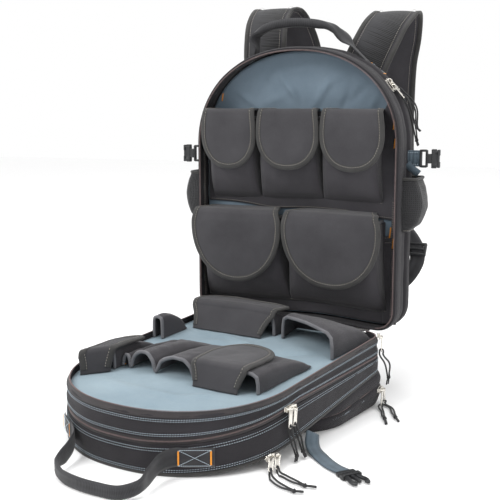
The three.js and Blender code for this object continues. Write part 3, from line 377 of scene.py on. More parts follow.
def mesh_cloth(name, dark, light, hole=3.0):
    """Spacer mesh: small round holes in a warp knit, on the cloth's own map, the holes darkened with
    painted shade.
    """
    material = bpy.data.materials.new(name)
    tree, shader = nodes_of(material)
    link = tree.links.new
    uv = add(tree, "ShaderNodeUVMap", uv_map="cloth").outputs[0]
    scaled = add(tree, "ShaderNodeMapping", in_Scale=(1 / hole, 1 / hole, 1.0))
    link(uv, scaled.inputs[0])
    cells = add(tree, "ShaderNodeTexVoronoi", in_Scale=1.0, in_Randomness=0.18)
    link(scaled.outputs[0], cells.inputs["Vector"])
    ramp = add(tree, "ShaderNodeMapRange", in_1=0.25, in_2=0.48)
    link(cells.outputs["Distance"], ramp.inputs[0])
    spot = add(tree, "ShaderNodeTexCoord").outputs["Object"]
    cloud = add(tree, "ShaderNodeTexNoise", in_Scale=40.0, in_Detail=3.0)
    link(spot, cloud.inputs["Vector"])
    # Painted shade: the holes, low in the bump, are darker; the cloud is random tone.
    factor = maths(tree, "MULTIPLY", ramp.outputs[0], maths(tree, "ADD", cloud.outputs[0], 0.3))
    link(mix_colour(tree, factor, rgb(dark), rgb(light)), shader.inputs["Base Color"])
    shader.inputs["Roughness"].default_value = 0.8
    shader.inputs["Sheen Weight"].default_value = 0.15
    bump = add(tree, "ShaderNodeBump", in_Strength=0.8, in_Distance=0.0008)
    link(ramp.outputs[0], bump.inputs["Height"])
    link(bump.outputs[0], shader.inputs["Normal"])
    return material


def thread(name, dark, light, rough=0.6):
    """Twisted sewing thread or braided cord, with painted light and shade on its twist."""
    material = bpy.data.materials.new(name)
    tree, shader = nodes_of(material)
    link = tree.links.new
    spot = add(tree, "ShaderNodeTexCoord").outputs["Object"]
    twist = add(tree, "ShaderNodeTexWave", bands_direction="DIAGONAL", in_Scale=420.0, in_Distortion=1.5)
    link(spot, twist.inputs["Vector"])
    cloud = add(tree, "ShaderNodeTexNoise", in_Scale=150.0, in_Detail=2.0)
    link(spot, cloud.inputs["Vector"])
    # Painted light and shade along the twist's bands, which also make the bump; the cloud is random tone.
    factor = maths(tree, "MULTIPLY", maths(tree, "ADD", twist.outputs[1], cloud.outputs[0]), 0.5)
    link(mix_colour(tree, factor, rgb(dark), rgb(light)), shader.inputs["Base Color"])
    shader.inputs["Roughness"].default_value = rough
    shader.inputs["Sheen Weight"].default_value = 0.1
    bump = add(tree, "ShaderNodeBump", in_Strength=0.4, in_Distance=0.0003)
    link(twist.outputs[1], bump.inputs["Height"])
    link(bump.outputs[0], shader.inputs["Normal"])
    return material


def hard(name, dark, light, rough, metallic=0.0, grain=600.0, relief=0.1):
    """Moulded plastic or plated metal, with fine grain and handling marks."""
    material = bpy.data.materials.new(name)
    tree, shader = nodes_of(material)
    link = tree.links.new
    spot = add(tree, "ShaderNodeTexCoord").outputs["Object"]
    fine = add(tree, "ShaderNodeTexNoise", in_Scale=grain, in_Detail=3.0)
    link(spot, fine.inputs["Vector"])
    marks = add(tree, "ShaderNodeTexNoise", in_Scale=90.0, in_Detail=6.0, in_Distortion=1.2)
    link(spot, marks.inputs["Vector"])
    link(mix_colour(tree, marks.outputs[0], rgb(dark), rgb(light)), shader.inputs["Base Color"])
    link(maths(tree, "ADD", maths(tree, "MULTIPLY", marks.outputs[0], 0.24), rough - 0.12),
        shader.inputs["Roughness"])
    shader.inputs["Metallic"].default_value = metallic
    bump = add(tree, "ShaderNodeBump", in_Strength=relief, in_Distance=0.0002)
    link(fine.outputs[0], bump.inputs["Height"])
    link(bump.outputs[0], shader.inputs["Normal"])
    return material


CLOTH = fabric("cloth", "28272a", "49474b", relief=0.4)
FLAP_CLOTH = fabric("flap_cloth", "2a292c", "474649", relief=0.4)
# The gusset cloth is a darker copy of the black cloth: painted shade for the side walls and the outer
# pocket.
GUSSET_CLOTH = fabric("gusset_cloth", "1a191b", "302e32", relief=0.4, sheen=0.07)
BINDING = webbing("binding", "232323", "3f3e3d", rib=1.1)
GREY_BINDING = webbing("grey_binding", "4a4a4d", "77777b", rib=1.1)
# The rear lining's colours are darker than the front lining's: painted shade on the standing rear half.
REAR_LINING_CLOTH = fabric("rear_lining_cloth", "4c5c69", "74838f", thread=0.6, relief=0.2, rough=0.8,
    sheen=0.1, patch=9, slub=0.25)
FRONT_LINING_CLOTH = fabric("front_lining_cloth", "6c7f8b", "94a4ac", thread=0.6, relief=0.2, rough=0.8,
    sheen=0.1, patch=9, slub=0.25)
BLACK_WEBBING = webbing("black_webbing", "151517", "343437")
BLUE_WEBBING = webbing("blue_webbing", "36434c", "5d6b76")
MESH_CLOTH = mesh_cloth("black_mesh", "0a0a0b", "2b2b2e")
TAPE = webbing("zip_tape", "1c1a1b", "383335", rib=0.9)
COIL_THREAD = thread("zip_coil", "3a2c2d", "84706e", rough=0.42)
BLUE_THREAD = thread("blue_thread", "93a8b8", "d6e2ea")
BEIGE_THREAD = thread("beige_thread", "8f8880", "cdc5ba")
ORANGE_THREAD = thread("orange_thread", "d8780c", "ffb52e")
BRAID = thread("cord_braid", "0d0d0e", "2c2c2e", rough=0.7)
METAL = hard("bright_metal", "c9c4ba", "f1eee8", 0.26, metallic=1.0, relief=0.05)
PLASTIC = hard("black_plastic", "131415", "26272a", 0.45)


# Mesh building

def settle(bm, name, material, nodes=()):
    """Turns a bmesh in the frame's metres into a shown piece."""
    mesh = bpy.data.meshes.new(name)
    bm.normal_update()
    bm.to_mesh(mesh)
    bm.free()
    mesh.polygons.foreach_set("use_smooth", [True] * len(mesh.polygons))
    mesh.materials.append(material)
    obj = bpy.data.objects.new(name, mesh)
    bpy.context.collection.objects.link(obj)
    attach(obj, "root")
    if nodes:
        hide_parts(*nodes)
    return obj


def sheet_mesh(nu, nv, place, size):
    """A grid bent into shape by place(u, w), with the cloth's map in millimetres."""
    bm = bmesh.new()
    bmesh.ops.create_grid(bm, x_segments=nu, y_segments=nv, size=0.5)
    layer = bm.loops.layers.uv.new("cloth")
    for face in bm.faces:
        for loop in face.loops:
            co = loop.vert.co
            loop[layer].uv = ((co.x + 0.5) * size[0], (co.y + 0.5) * size[1])
    for vert in bm.verts:
        vert.co = row(place(vert.co.x + 0.5, vert.co.y + 0.5))
    bmesh.ops.remove_doubles(bm, verts=bm.verts, dist=1e-6)
    return bm


def thicken(obj, thickness, offset=-1.0):
    wall = obj.modifiers.new("wall", "SOLIDIFY")
    wall.thickness = thickness * 0.001
    wall.offset = offset
    wall.use_even_offset = False
    return obj


def sheet(name, nu, nv, place, size, material, thick=0.0, offset=-1.0, nodes=()):
    obj = settle(sheet_mesh(nu, nv, place, size), name, material, nodes)
    if thick:
        thicken(obj, thick, offset)
    return obj


def frames(path, ups, closed=False):
    """Tangent, side and normal at each point of a path."""
    count = len(path)
    result = []
    for i in range(count):
        if closed:
            t = (path[(i + 1) % count] - path[i - 1]).normalized()
        else:
            t = (path[min(i + 1, count - 1)] - path[max(i - 1, 0)]).normalized()
        up = ups[i] if isinstance(ups, list) else ups
        n = (up - t * up.dot(t)).normalized()
        result.append((t, n.cross(t), n))
    return result


def ring_section(radius, count=10, flat=1.0):
    return [(radius * math.cos(2 * math.pi * k / count),
            flat * radius * math.sin(2 * math.pi * k / count)) for k in range(count)]


def strip_section(width, thick, lobes=2):
    """Flat band with rounded edges."""
    a, b = width / 2, thick / 2
    top = [(a * (1 - 2 * k / lobes), b) for k in range(lobes + 1)]
    return [(a + b * 0.6, 0)] + top + [(-a - b * 0.6, 0)] + [(x, -b) for x, _ in reversed(top)]


def sweep_mesh(path, section, ups, closed=False, scales=None):
    """A section carried along a path. scales gives each point's (width, thickness) factors."""
    spots = frames(path, ups, closed)
    count, around = len(path), len(section)
    nu = count if closed else count - 1
    run = sum((path[i + 1] - path[i]).length for i in range(count - 1))
    girth = sum(math.dist(section[k], section[k - 1]) for k in range(around))

    def place(u, w):
        i, k = round(u * nu) % count, round(w * around) % around
        wide, deep = scales[i] if scales else (1, 1)
        _, side, normal = spots[i]
        return path[i] + side * (section[k][0] * wide) + normal * (section[k][1] * deep)

    bm = sheet_mesh(nu, around, place, (run, girth))
    if not closed:
        bmesh.ops.holes_fill(bm, edges=[e for e in bm.edges if e.is_boundary], sides=0)
    bmesh.ops.recalc_face_normals(bm, faces=bm.faces)
    return bm


def sweep(name, path, section, ups, material, closed=False, scales=None, nodes=()):
    return settle(sweep_mesh(path, section, ups, closed, scales), name, material, nodes)


def merged(name, parts, material, nodes=()):
    """Several bmeshes as one piece."""
    whole = bmesh.new()
    for bm in parts:
        mesh = bpy.data.meshes.new("part")
        bm.to_mesh(mesh)
        bm.free()
        whole.from_mesh(mesh)
        bpy.data.meshes.remove(mesh)
    return settle(whole, name, material, nodes)


def array(name, template, places, material, nodes=()):
    """Copies of one small bmesh, in millimetres, at each 4x4 place, joined into one mesh."""
    template.verts.ensure_lookup_table()
    co = np.array([v.co for v in template.verts])
    faces = np.array([[v.index for v in f.verts] for f in template.faces])
    template.free()
    mats = np.array([np.array(m) for m in places])
    points = np.einsum("nij,kj->nki", mats[:, :3, :3], co) + mats[:, None, :3, 3]
    points = (points.reshape(-1, 3) + np.array(OFFSET)) * 0.001
    many = (faces[None] + (np.arange(len(places)) * len(co))[:, None, None]).reshape(-1, faces.shape[1])
    mesh = bpy.data.meshes.new(name)
    mesh.vertices.add(len(points))
    mesh.vertices.foreach_set("co", points.ravel())
    mesh.loops.add(many.size)
    mesh.loops.foreach_set("vertex_index", many.ravel())
    mesh.polygons.add(len(many))
    mesh.polygons.foreach_set("loop_start", np.arange(len(many)) * faces.shape[1])
    mesh.update(calc_edges=True)
    mesh.polygons.foreach_set("use_smooth", [True] * len(many))
    mesh.materials.append(material)
    obj = bpy.data.objects.new(name, mesh)
    bpy.context.collection.objects.link(obj)
    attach(obj, "root")
    if nodes:
        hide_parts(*nodes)
    return obj


def bead(length, width, height, stitch_only=False):
    """One stitch or tooth, lying along x."""
    bm = bmesh.new()
    if stitch_only:
        bmesh.ops.create_uvsphere(bm, u_segments=4, v_segments=2, radius=0.5)
    else:
        bmesh.ops.create_icosphere(bm, subdivisions=1, radius=0.5)
    bmesh.ops.scale(bm, vec=(length, width, height), verts=bm.verts)
    return bm


def block(length, width, height, bevel=0.2, segments=2):
    bm = bmesh.new()
    bmesh.ops.create_cube(bm, size=1)
    bmesh.ops.scale(bm, vec=(length, width, height), verts=bm.verts)
    bmesh.ops.bevel(bm, geom=bm.edges[:], offset=bevel, segments=segments, profile=0.5, affect="EDGES",
        material=-1)
    return bm


def matrix(at, along, up):
    t = along.normalized()
    n = (up - t * up.dot(t)).normalized()
    m = Matrix((t, n.cross(t), n)).transposed().to_4x4()
    m.translation = at
    return m


def along_path(path, ups, pitch, lift=0.0, start=0.5):
    """Places every pitch millimetres along a path of points."""
    pts = np.array(path)
    steps = np.concatenate([[0], np.cumsum(np.linalg.norm(np.diff(pts, axis=0), axis=1))])
    places = []
    for d in np.arange(start * pitch, steps[-1], pitch):
        i = min(int(np.searchsorted(steps, d)) - 1, len(path) - 2)
        t = (d - steps[i]) / max(steps[i + 1] - steps[i], 1e-9)
        up = ups[i] if isinstance(ups, list) else ups
        here = path[i].lerp(path[i + 1], t) + up * lift
        places.append(matrix(here, path[i + 1] - path[i], up))
    return places


def bezier_like(points, count):
    """Smooth points through given ones, as a centripetal curve."""
    pts = [Vector(p) for p in points]
    pts = [2 * pts[0] - pts[1]] + pts + [2 * pts[-1] - pts[-2]]
    result = []
    spans = len(pts) - 3
    for k in range(count + 1):
        at = k / count * spans
        i = min(int(at), spans - 1)
        p = pts[i:i + 4]
        t = [0.0]
        for a, b in zip(p, p[1:]):
            t.append(t[-1] + max((b - a).length, 1e-6) ** 0.5)
        x = t[1] + (at - i) * (t[2] - t[1])
        a1 = p[0] * ((t[1] - x) / (t[1] - t[0])) + p[1] * ((x - t[0]) / (t[1] - t[0]))
        a2 = p[1] * ((t[2] - x) / (t[2] - t[1])) + p[2] * ((x - t[1]) / (t[2] - t[1]))
        a3 = p[2] * ((t[3] - x) / (t[3] - t[2])) + p[3] * ((x - t[2]) / (t[3] - t[2]))
        b1 = a1 * ((t[2] - x) / (t[2] - t[0])) + a2 * ((x - t[0]) / (t[2] - t[0]))
        b2 = a2 * ((t[3] - x) / (t[3] - t[1])) + a3 * ((x - t[1]) / (t[3] - t[1]))
        result.append(b1 * ((t[2] - x) / (t[2] - t[1])) + b2 * ((x - t[1]) / (t[2] - t[1])))
    return result


blue_stitches, beige_stitches, bartacks = [], [], []


def stitch(rows, path, ups, pitch=3.3, lift=0.35):
    rows.extend(along_path(path, ups, pitch, lift))


def bartack(a, b, up, width=2.6):
    """A dense zigzag of orange thread from a to b."""
    count = max(int((b - a).length / 0.55), 3)
    side = (b - a).normalized().cross(up)
    for k in range(count + 1):
        lean = side * (0.25 if k % 2 else -0.25)
        bartacks.append((matrix(a.lerp(b, k / count) + up * 0.5, side + (b - a).normalized() * 0.3, up),
                width, lean))


# Gussets, their seams and zips

def wall(name, half_wall, wrinkles, node):
    around, across = 360, 40

    def place(u, w):
        s = u * PERIMETER
        p, out = half_wall(s, w)
        slack = math.sin(math.pi * min(max(w, 0), 1)) ** 0.5
        coarse = wrinkle(p.x, p.y, p.z, 26, wrinkles)
        fine = wrinkle(p.x, p.y, p.z * 2.2, 9, 0.35 * wrinkles)
        return p + out * slack * (coarse + fine)

    return sheet(name, around, across, place, (PERIMETER, 84), GUSSET_CLOTH, 2.3, 1.0,
        [node])


wall("rear_gusset_cloth", rear_wall, 0.9, "rear_gusset")
wall("front_gusset_cloth", front_wall, 1.0, "front_gusset")


def seam(rows, half_wall, share, start=ZIP_START, end=PERIMETER, count=420, lift=0.4):
    path, ups = [], []
    for s in np.linspace(start, end, count):
        p, out = half_wall(s, share)
        path.append(p)
        ups.append(out)
    stitch(rows, path, ups, lift=lift)


for share in (0.035, 0.062, 0.27, 0.3, 0.47, 0.5, 0.72, 0.75, 0.9, 0.93):
    seam(blue_stitches, rear_wall, share)
for share in (0.055, 0.085, 0.365, 0.4, 0.6, 0.635, 0.86, 0.895):
    seam(blue_stitches, front_wall, share)


def rail(half_wall, share, extra, start=ZIP_START, end=PERIMETER, count=420):
    path, ups = [], []
    for s in np.linspace(start, end, count):
        p, out = half_wall(s, share, extra)
        path.append(p)
        ups.append(out)
    return path, ups


def welt(name, half_wall, share, radius, material, extra=0.0, start=0.0, end=PERIMETER):
    """A bound or piped edge along the gusset."""
    path, ups = rail(half_wall, share, extra, start, end, 360)
    closed = end - start >= PERIMETER
    return sweep(name, path[:-1] if closed else path, ring_section(radius, 10, 0.7), ups, material,
        closed)


welt("rear_back_piping", rear_wall, 0.012, 2.0, BINDING, 0.6)
welt("front_base_piping", front_wall, 0.012, 2.0, BINDING, 1.2)
for tag, half_wall, shares in (("rear", rear_wall, (0.325, 0.437)), ("front", front_wall, (0.43, 0.572))):
    for k, share in enumerate(shares):
        welt(f"{tag}_zip_fold_{k}", half_wall, share, 1.1, GUSSET_CLOTH, 0.6, ZIP_START)


def teeth(path, ups, name, node, pitch=1.7):
    places = along_path(path, ups, pitch)
    return array(name, bead(1.5, 2.7, 1.5), places, COIL_THREAD, [node])


for tag, half_wall, node, floor in (
    ("rear_middle", rear_wall, "rear_compartment_zip", 0.38),
    ("front_middle", front_wall, "front_middle_zip", 0.5),
):
    path, ups = rail(half_wall, floor, 1.3)
    teeth(path, ups, f"{tag}_coil", node)
    base, _ = rail(half_wall, floor, 0.7)
    sweep(f"{tag}_tape", base, strip_section(9 if tag == "front_middle" else 6.5, 0.5), ups, TAPE)


def rim_zip(tag, half_wall, node, along):
    """Coil on the rim with its tape turned down over the top band."""
    path, ups = [], []
    for s in np.linspace(ZIP_START, PERIMETER, 420):
        x, v, _, _ = edge(s, -1.2)
        p = rear(x, COIL / 2, v) if tag == "rear" else front(x, v, front_rim(v) - COIL / 2)
        path.append(p)
        ups.append(along)
    teeth(path, ups, f"{tag}_rim_coil", node)
    strip = []
    for share in (1.0, 0.93):
        strip.append(rail(half_wall, share, 0.35)[0])
    low_edge, top_edge = strip[1], strip[0]
    lifted = [p + along * (COIL * 0.5) for p in top_edge]

    def place(u, w):
        i = round(u * (len(low_edge) - 1))
        a, b, c = low_edge[i], top_edge[i], lifted[i]
        return a.lerp(b, w / 0.7) if w < 0.7 else b.lerp(c.lerp(path[i], 0.4), (w - 0.7) / 0.3)

    sheet(f"{tag}_rim_tape", len(low_edge) - 1, 6, place, (1000, 9), TAPE, 0.5, 1.0)


rim_zip("rear", rear_wall, "rear_main_zip", Vector((0, -1, 0)))
rim_zip("front", front_wall, "front_main_zip", Z)


# Linings

def disc(name, place, across, around, material, thick, nodes, offset=-1.0):
    """A sheet that fills the outline: place(x, v, share from the middle) gives its points."""
    middle_v = PACK_LENGTH * 0.48
    bm = bmesh.new()
    bmesh.ops.create_grid(bm, x_segments=around, y_segments=42, size=0.5)
    layer = bm.loops.layers.uv.new("cloth")
    flat = {}
    for vert in bm.verts:
        u, w = vert.co.x + 0.5, vert.co.y + 0.5
        x, v, _, _ = edge(u * PERIMETER, across)
        flat[vert] = (x * w, middle_v + (v - middle_v) * w)
        w = max(w, 1e-4)
        vert.co = row(place(x * w, middle_v + (v - middle_v) * w, w))
    for face in bm.faces:
        for loop in face.loops:
            loop[layer].uv = flat[loop.vert]
    bmesh.ops.remove_doubles(bm, verts=bm.verts, dist=1e-5)
    bmesh.ops.recalc_face_normals(bm, faces=bm.faces)
    obj = settle(bm, name, material, nodes)
    if thick:
        thicken(obj, thick, offset)
    return obj


def folds(x, v, table):
    """Long soft folds: rows of x, v, direction, length, width and height."""
    total = 0.0
    for fx, fv, angle, length, width, height in table:
        a = math.radians(angle)
        along = (x - fx) * math.cos(a) + (v - fv) * math.sin(a)
        aside = -(x - fx) * math.sin(a) + (v - fv) * math.cos(a)
        total += height * math.exp(-(along / length) ** 2 - (aside / width) ** 2)
    return total


REAR_FOLDS = [
    (-20, 368, -50, 28, 5, 5.2), (-60, 385, 62, 32, 6, -4.2), (36, 362, 58, 34, 5, 4.8),
    (95, 358, 42, 30, 6, -4.2), (10, 402, 8, 66, 8, 4.0), (-95, 352, -36, 28, 5, 4.2),
    (66, 388, 34, 34, 6, 4.0), (120, 346, 62, 22, 5, 3.6), (-2, 350, -68, 22, 5, -3.6),
    (74, 350, 70, 22, 5, -3.4), (-44, 350, 24, 26, 6, 3.0), (-70, 410, 30, 22, 5, 3.0),
    (60, 186, 4, 50, 6, 2.4), (-60, 188, -6, 60, 6, 2.6),
]
FRONT_FOLDS = [
    (-60, 350, 12, 60, 12, 4.4), (20, 385, -14, 60, 10, -4.1), (60, 330, -30, 34, 9, 3.4),
    (-100, 385, 36, 26, 9, 3.7), (10, 345, 4, 44, 7, 3.7), (-20, 110, 20, 50, 9, 4.4),
    (60, 130, -25, 46, 9, -4.4), (-70, 130, -15, 40, 10, 3.7), (95, 160, 50, 30, 8, 3.4),
    (0, 140, 8, 60, 8, -3.4),
]


def rear_rise(x, v):
    """Folds of the rear lining, which flatten out behind the pockets."""
    calm = min(max((v / PACK_LENGTH - 0.7) / 0.1, 0.25), 1)
    return 0.4 + calm * (folds(x, v, REAR_FOLDS) + wrinkle(x, v, 3, 34, 1.6) + wrinkle(x, v, 9, 12, 0.6))


def rear_lining(x, v, w):
    return rear(x, REAR_LINING - (1 - w**8) * rear_rise(x, v), v)


def front_lining(x, v, w):
    fade = 1 - w**10
    rise = fade * (folds(x, v, FRONT_FOLDS) + wrinkle(x, v, 5, 40, 1.4) + wrinkle(x, v, 2, 14, 0.5) - 1.0)
    return front(x, v, front_rim(v) - FRONT_LINING + rise)


def front_base_shape(x, v, w):
    return front(x, v, front_base(v) + 1.6 + (1 - w**6) * wrinkle(x, v, 1, 40, 0.8))


disc("rear_lining_cloth", rear_lining, -0.6, 260, REAR_LINING_CLOTH, 1.2,
    ["rear_lining"])
disc("front_lining_cloth", front_lining, -1.8, 260, FRONT_LINING_CLOTH, 1.2,
    ["front_lining"])
disc("front_base_cloth", front_base_shape, -1.9, 120, GUSSET_CLOTH, 1.4, ["front_base"])


# Pockets: places on the two linings, x across, v along, rise off the lining

def on_rear(x, v, rise):
    return rear(x, REAR_LINING - rise, v)


def on_front(x, v, rise):
    return front(x, v, front_rim(v) - FRONT_LINING + rise)


POCKET_ROWS = [(0, 0.05, 1.06), (0.1, 0.34, 1.05), (0.3, 0.68, 1.01), (0.6, 0.92, 0.97), (0.85, 1, 0.95),
    (1, 0.97, 0.93)]
SIDE_ROWS = [(0, 0.35, 0.8), (0.15, 0.75, 0.95), (0.5, 1, 1), (0.8, 0.9, 1), (1, 0.72, 1)]
POCKET_SECTION = [(-1, 0), (-0.99, 0.5), (-0.95, 0.83), (-0.8, 0.98), (-0.4, 1.03), (0, 1.06), (0.4, 1.03),
    (0.8, 0.98), (0.95, 0.83), (0.99, 0.5), (1, 0)]


def along_section(t):
    """Across and lift of a pocket's section by the share of its own length."""
    lengths = [math.dist(a, b) for a, b in zip(POCKET_SECTION, POCKET_SECTION[1:])]
    steps = np.concatenate([[0], np.cumsum(lengths)])
    d = t * steps[-1]
    return tuple(float(np.interp(d, steps, [p[k] for p in POCKET_SECTION])) for k in (0, 1))


def pocket_shape(place, left, right, closed, mouth, depth, slant=0.0, closed_slant=0.0, rows=POCKET_ROWS,
    puff=1.2):
    middle, reach = (left + right) / 2, (right - left) / 2

    def shape(u, w):
        across, lift = along_section(u)
        wide = smooth(rows, w, 2)
        x = middle + across * reach * wide
        aside = (x - middle) / (2 * reach)
        shut = closed + closed_slant * aside
        v = shut + w * (mouth + slant * aside - shut)
        rise = CLEAR + lift * depth * smooth(rows, w, 1)
        soft = lift * (1 - abs(2 * w - 1) ** 3)
        rise += soft * (wrinkle(x, v, depth, 30, 1.6 * puff) + wrinkle(v, x, depth, 11, 0.5 * puff))
        return place(x, v, rise)

    return shape, (2 * reach + 1.6 * depth, abs(mouth - closed))


def pocket(name, place, material, binding, nodes, bind=2.2, thick=1.8, **sizes):
    shape, size = pocket_shape(place, **sizes)
    sheet(name, 56, 32, shape, size, material, thick, -1.0,
        nodes)
    lip = [shape(u, 1.0) for u in np.linspace(0, 1, 90)]
    under = [shape(u, 0.97) for u in np.linspace(0, 1, 90)]
    ups = [(a - b).normalized() for a, b in zip(lip, under)]
    sweep(f"{name}_binding", lip, strip_section(3.0, bind * 2), ups, binding)
    return shape


W, L = PACK_WIDTH, PACK_LENGTH
BACK = Vector((0, -1, 0))


def inside_width(v):
    """Half the lining's width at a place, kept a little inside the gusset."""
    over = min(max((v - (L - ARCH_HEIGHT)) / ARCH_HEIGHT, 0), 0.99)
    return W / 2 * (1 - over**ARCH_POWER) ** (1 / ARCH_POWER) - 2.6


PANEL_FOLDS = [(152, 330, 82, 60, 4, 2.4), (150, 120, 86, 60, 5, 2.4)]
# Charcoal panels the pockets are sewn to: name, left and right shares,
# then low and high edges at both ends and between
HEM = [(-0.5, 0.427), (-0.43, 0.426), (-0.3, 0.42), (-0.14, 0.404), (0.02, 0.408), (0.2, 0.405),
    (0.36, 0.392), (0.45, 0.386), (0.5, 0.384)]
TOP = [(-0.5, 0.78), (0, 0.775), (0.4, 0.775), (0.47, 0.86), (0.5, 0.87)]
PANELS = [
    ("upper_panel", -0.5, 0.5, HEM, TOP, 3.0),
    ("lower_panel", -0.5, 0.43, [(-0.5, 0.004), (0.5, 0.004)], [(-0.5, 0.38), (0.5, 0.376)], 1.4),
    ("window_panel", 0.425, 0.5, [(0.4, 0.004), (0.5, 0.004)], [(0.4, 0.322), (0.5, 0.33)], 2.2),
    ("right_placket", 0.462, 0.5, [(0.4, 0.02), (0.5, 0.012)], [(0.4, 0.47), (0.5, 0.47)], 4.2),
]


def panel_shape(left, right, low_edge, high_edge, rise):
    def shape(u, w):
        share = left + (right - left) * u
        bottom, top = smooth(low_edge, share, 1) * L, smooth(high_edge, share, 1) * L
        v = bottom + (top - bottom) * w
        x = min(max(share * W, -inside_width(v)), inside_width(v))
        soft = wrinkle(x, v, 2, 26, 0.9) + wrinkle(x, v, 8, 9, 0.3)
        return on_rear(x, v, max(rear_rise(x, v), 0) + rise + soft + folds(x, v, PANEL_FOLDS))

    return shape


for name, left, right, low_edge, high_edge, rise in PANELS:
    shape = panel_shape(left, right, low_edge, high_edge, rise)
    sheet(name, 60 if right - left > 0.2 else 10, 44, shape, ((right - left) * W, 140), CLOTH,
        1.0, 0.0)
    if name == "upper_panel":
        stitch(beige_stitches, [shape(u, 0.018) for u in np.linspace(0.02, 0.98, 120)], BACK, 3.6, 0.9)
    elif name == "right_placket":
        for u in (0.12, 0.3):
            stitch(beige_stitches, [shape(u, w) for w in np.linspace(0.05, 0.97, 80)], BACK, 3.6, 0.9)
    elif name == "window_panel":
        for w in (0.985, 0.93):
            stitch(beige_stitches, [shape(u, w) for u in np.linspace(0.05, 0.7, 12)], BACK, 3.0, 0.9)
for x, low_z, high_z in ((152, 418, 434), (154, 390, 404), (150, 252, 268), (155, 236, 251),
    (-138, 462, 474)):
    rise = 6.5 if x > 0 else 3
    bartack(rear(x, REAR_LINING - rise, low_z - HINGE_HEIGHT),
        rear(x + 1.5, REAR_LINING - rise, high_z - HINGE_HEIGHT), BACK, 3.2)
inner_line = [rear(-W / 2 + 0.4, 20, v) for v in np.linspace(0.05 * L, 0.66 * L, 90)]
stitch(beige_stitches, inner_line, Vector((1, 0, 0)), 3.6, 0.4)
stitch(beige_stitches, [p + Vector((0, 4, 0)) for p in inner_line], Vector((1, 0, 0)), 3.6, 0.4)
for name, left, right, closed, top, depth in (
    ("upper_pocket_left", -0.455, -0.208, 0.437, 0.752, 44),
    ("upper_pocket_middle", -0.19, 0.117, 0.437, 0.752, 44),
    ("upper_pocket_right", 0.129, 0.409, 0.437, 0.752, 44),
    ("lower_pocket_left", -0.482, -0.049, 0.044, 0.379, 52),
    ("lower_pocket_right", -0.037, 0.43, 0.044, 0.379, 52),
):
    shape = pocket(name + "_cloth", on_rear, CLOTH, GREY_BINDING, [name],
                   left=left * W, right=right * W, closed=closed * L, mouth=top * L, depth=depth)
    hem = [shape(u, 0.0) for u in np.linspace(0.06, 0.94, 70)]
    hem = [p + Vector((0, -1.2, 3.2)) for p in hem]
    stitch(beige_stitches, hem, BACK, 2.8, 0.2)

front_pockets = (
    ("left_flap_pocket", -0.418, -0.345, 0.467, 0.745, -0.1, 0, 27),
    ("right_flap_pocket", 0.067, 0.394, 0.386, 0.678, 0, 0, 27),
    ("hinge_flap_pocket", -0.424, 0.036, 0.054, 0.14, 0, -0.072, 34),
    ("corner_pocket_left", -0.491, -0.436, 0.215, 0.355, 0, 0, 33),
    ("corner_pocket_right", 0.061, 0.448, 0.028, 0.215, 0.145, 0, 38),
)
for name, left, right, closed, mouth, slant, shut, depth in front_pockets:
    pocket(name + "_cloth", on_front, CLOTH, GREY_BINDING, [name], puff=0.8,
           left=left * W, right=right * W, closed=closed * L, mouth=mouth * L, depth=depth,
           slant=slant * L, closed_slant=shut * L)


# Flaps, bound and stitched round their free edge

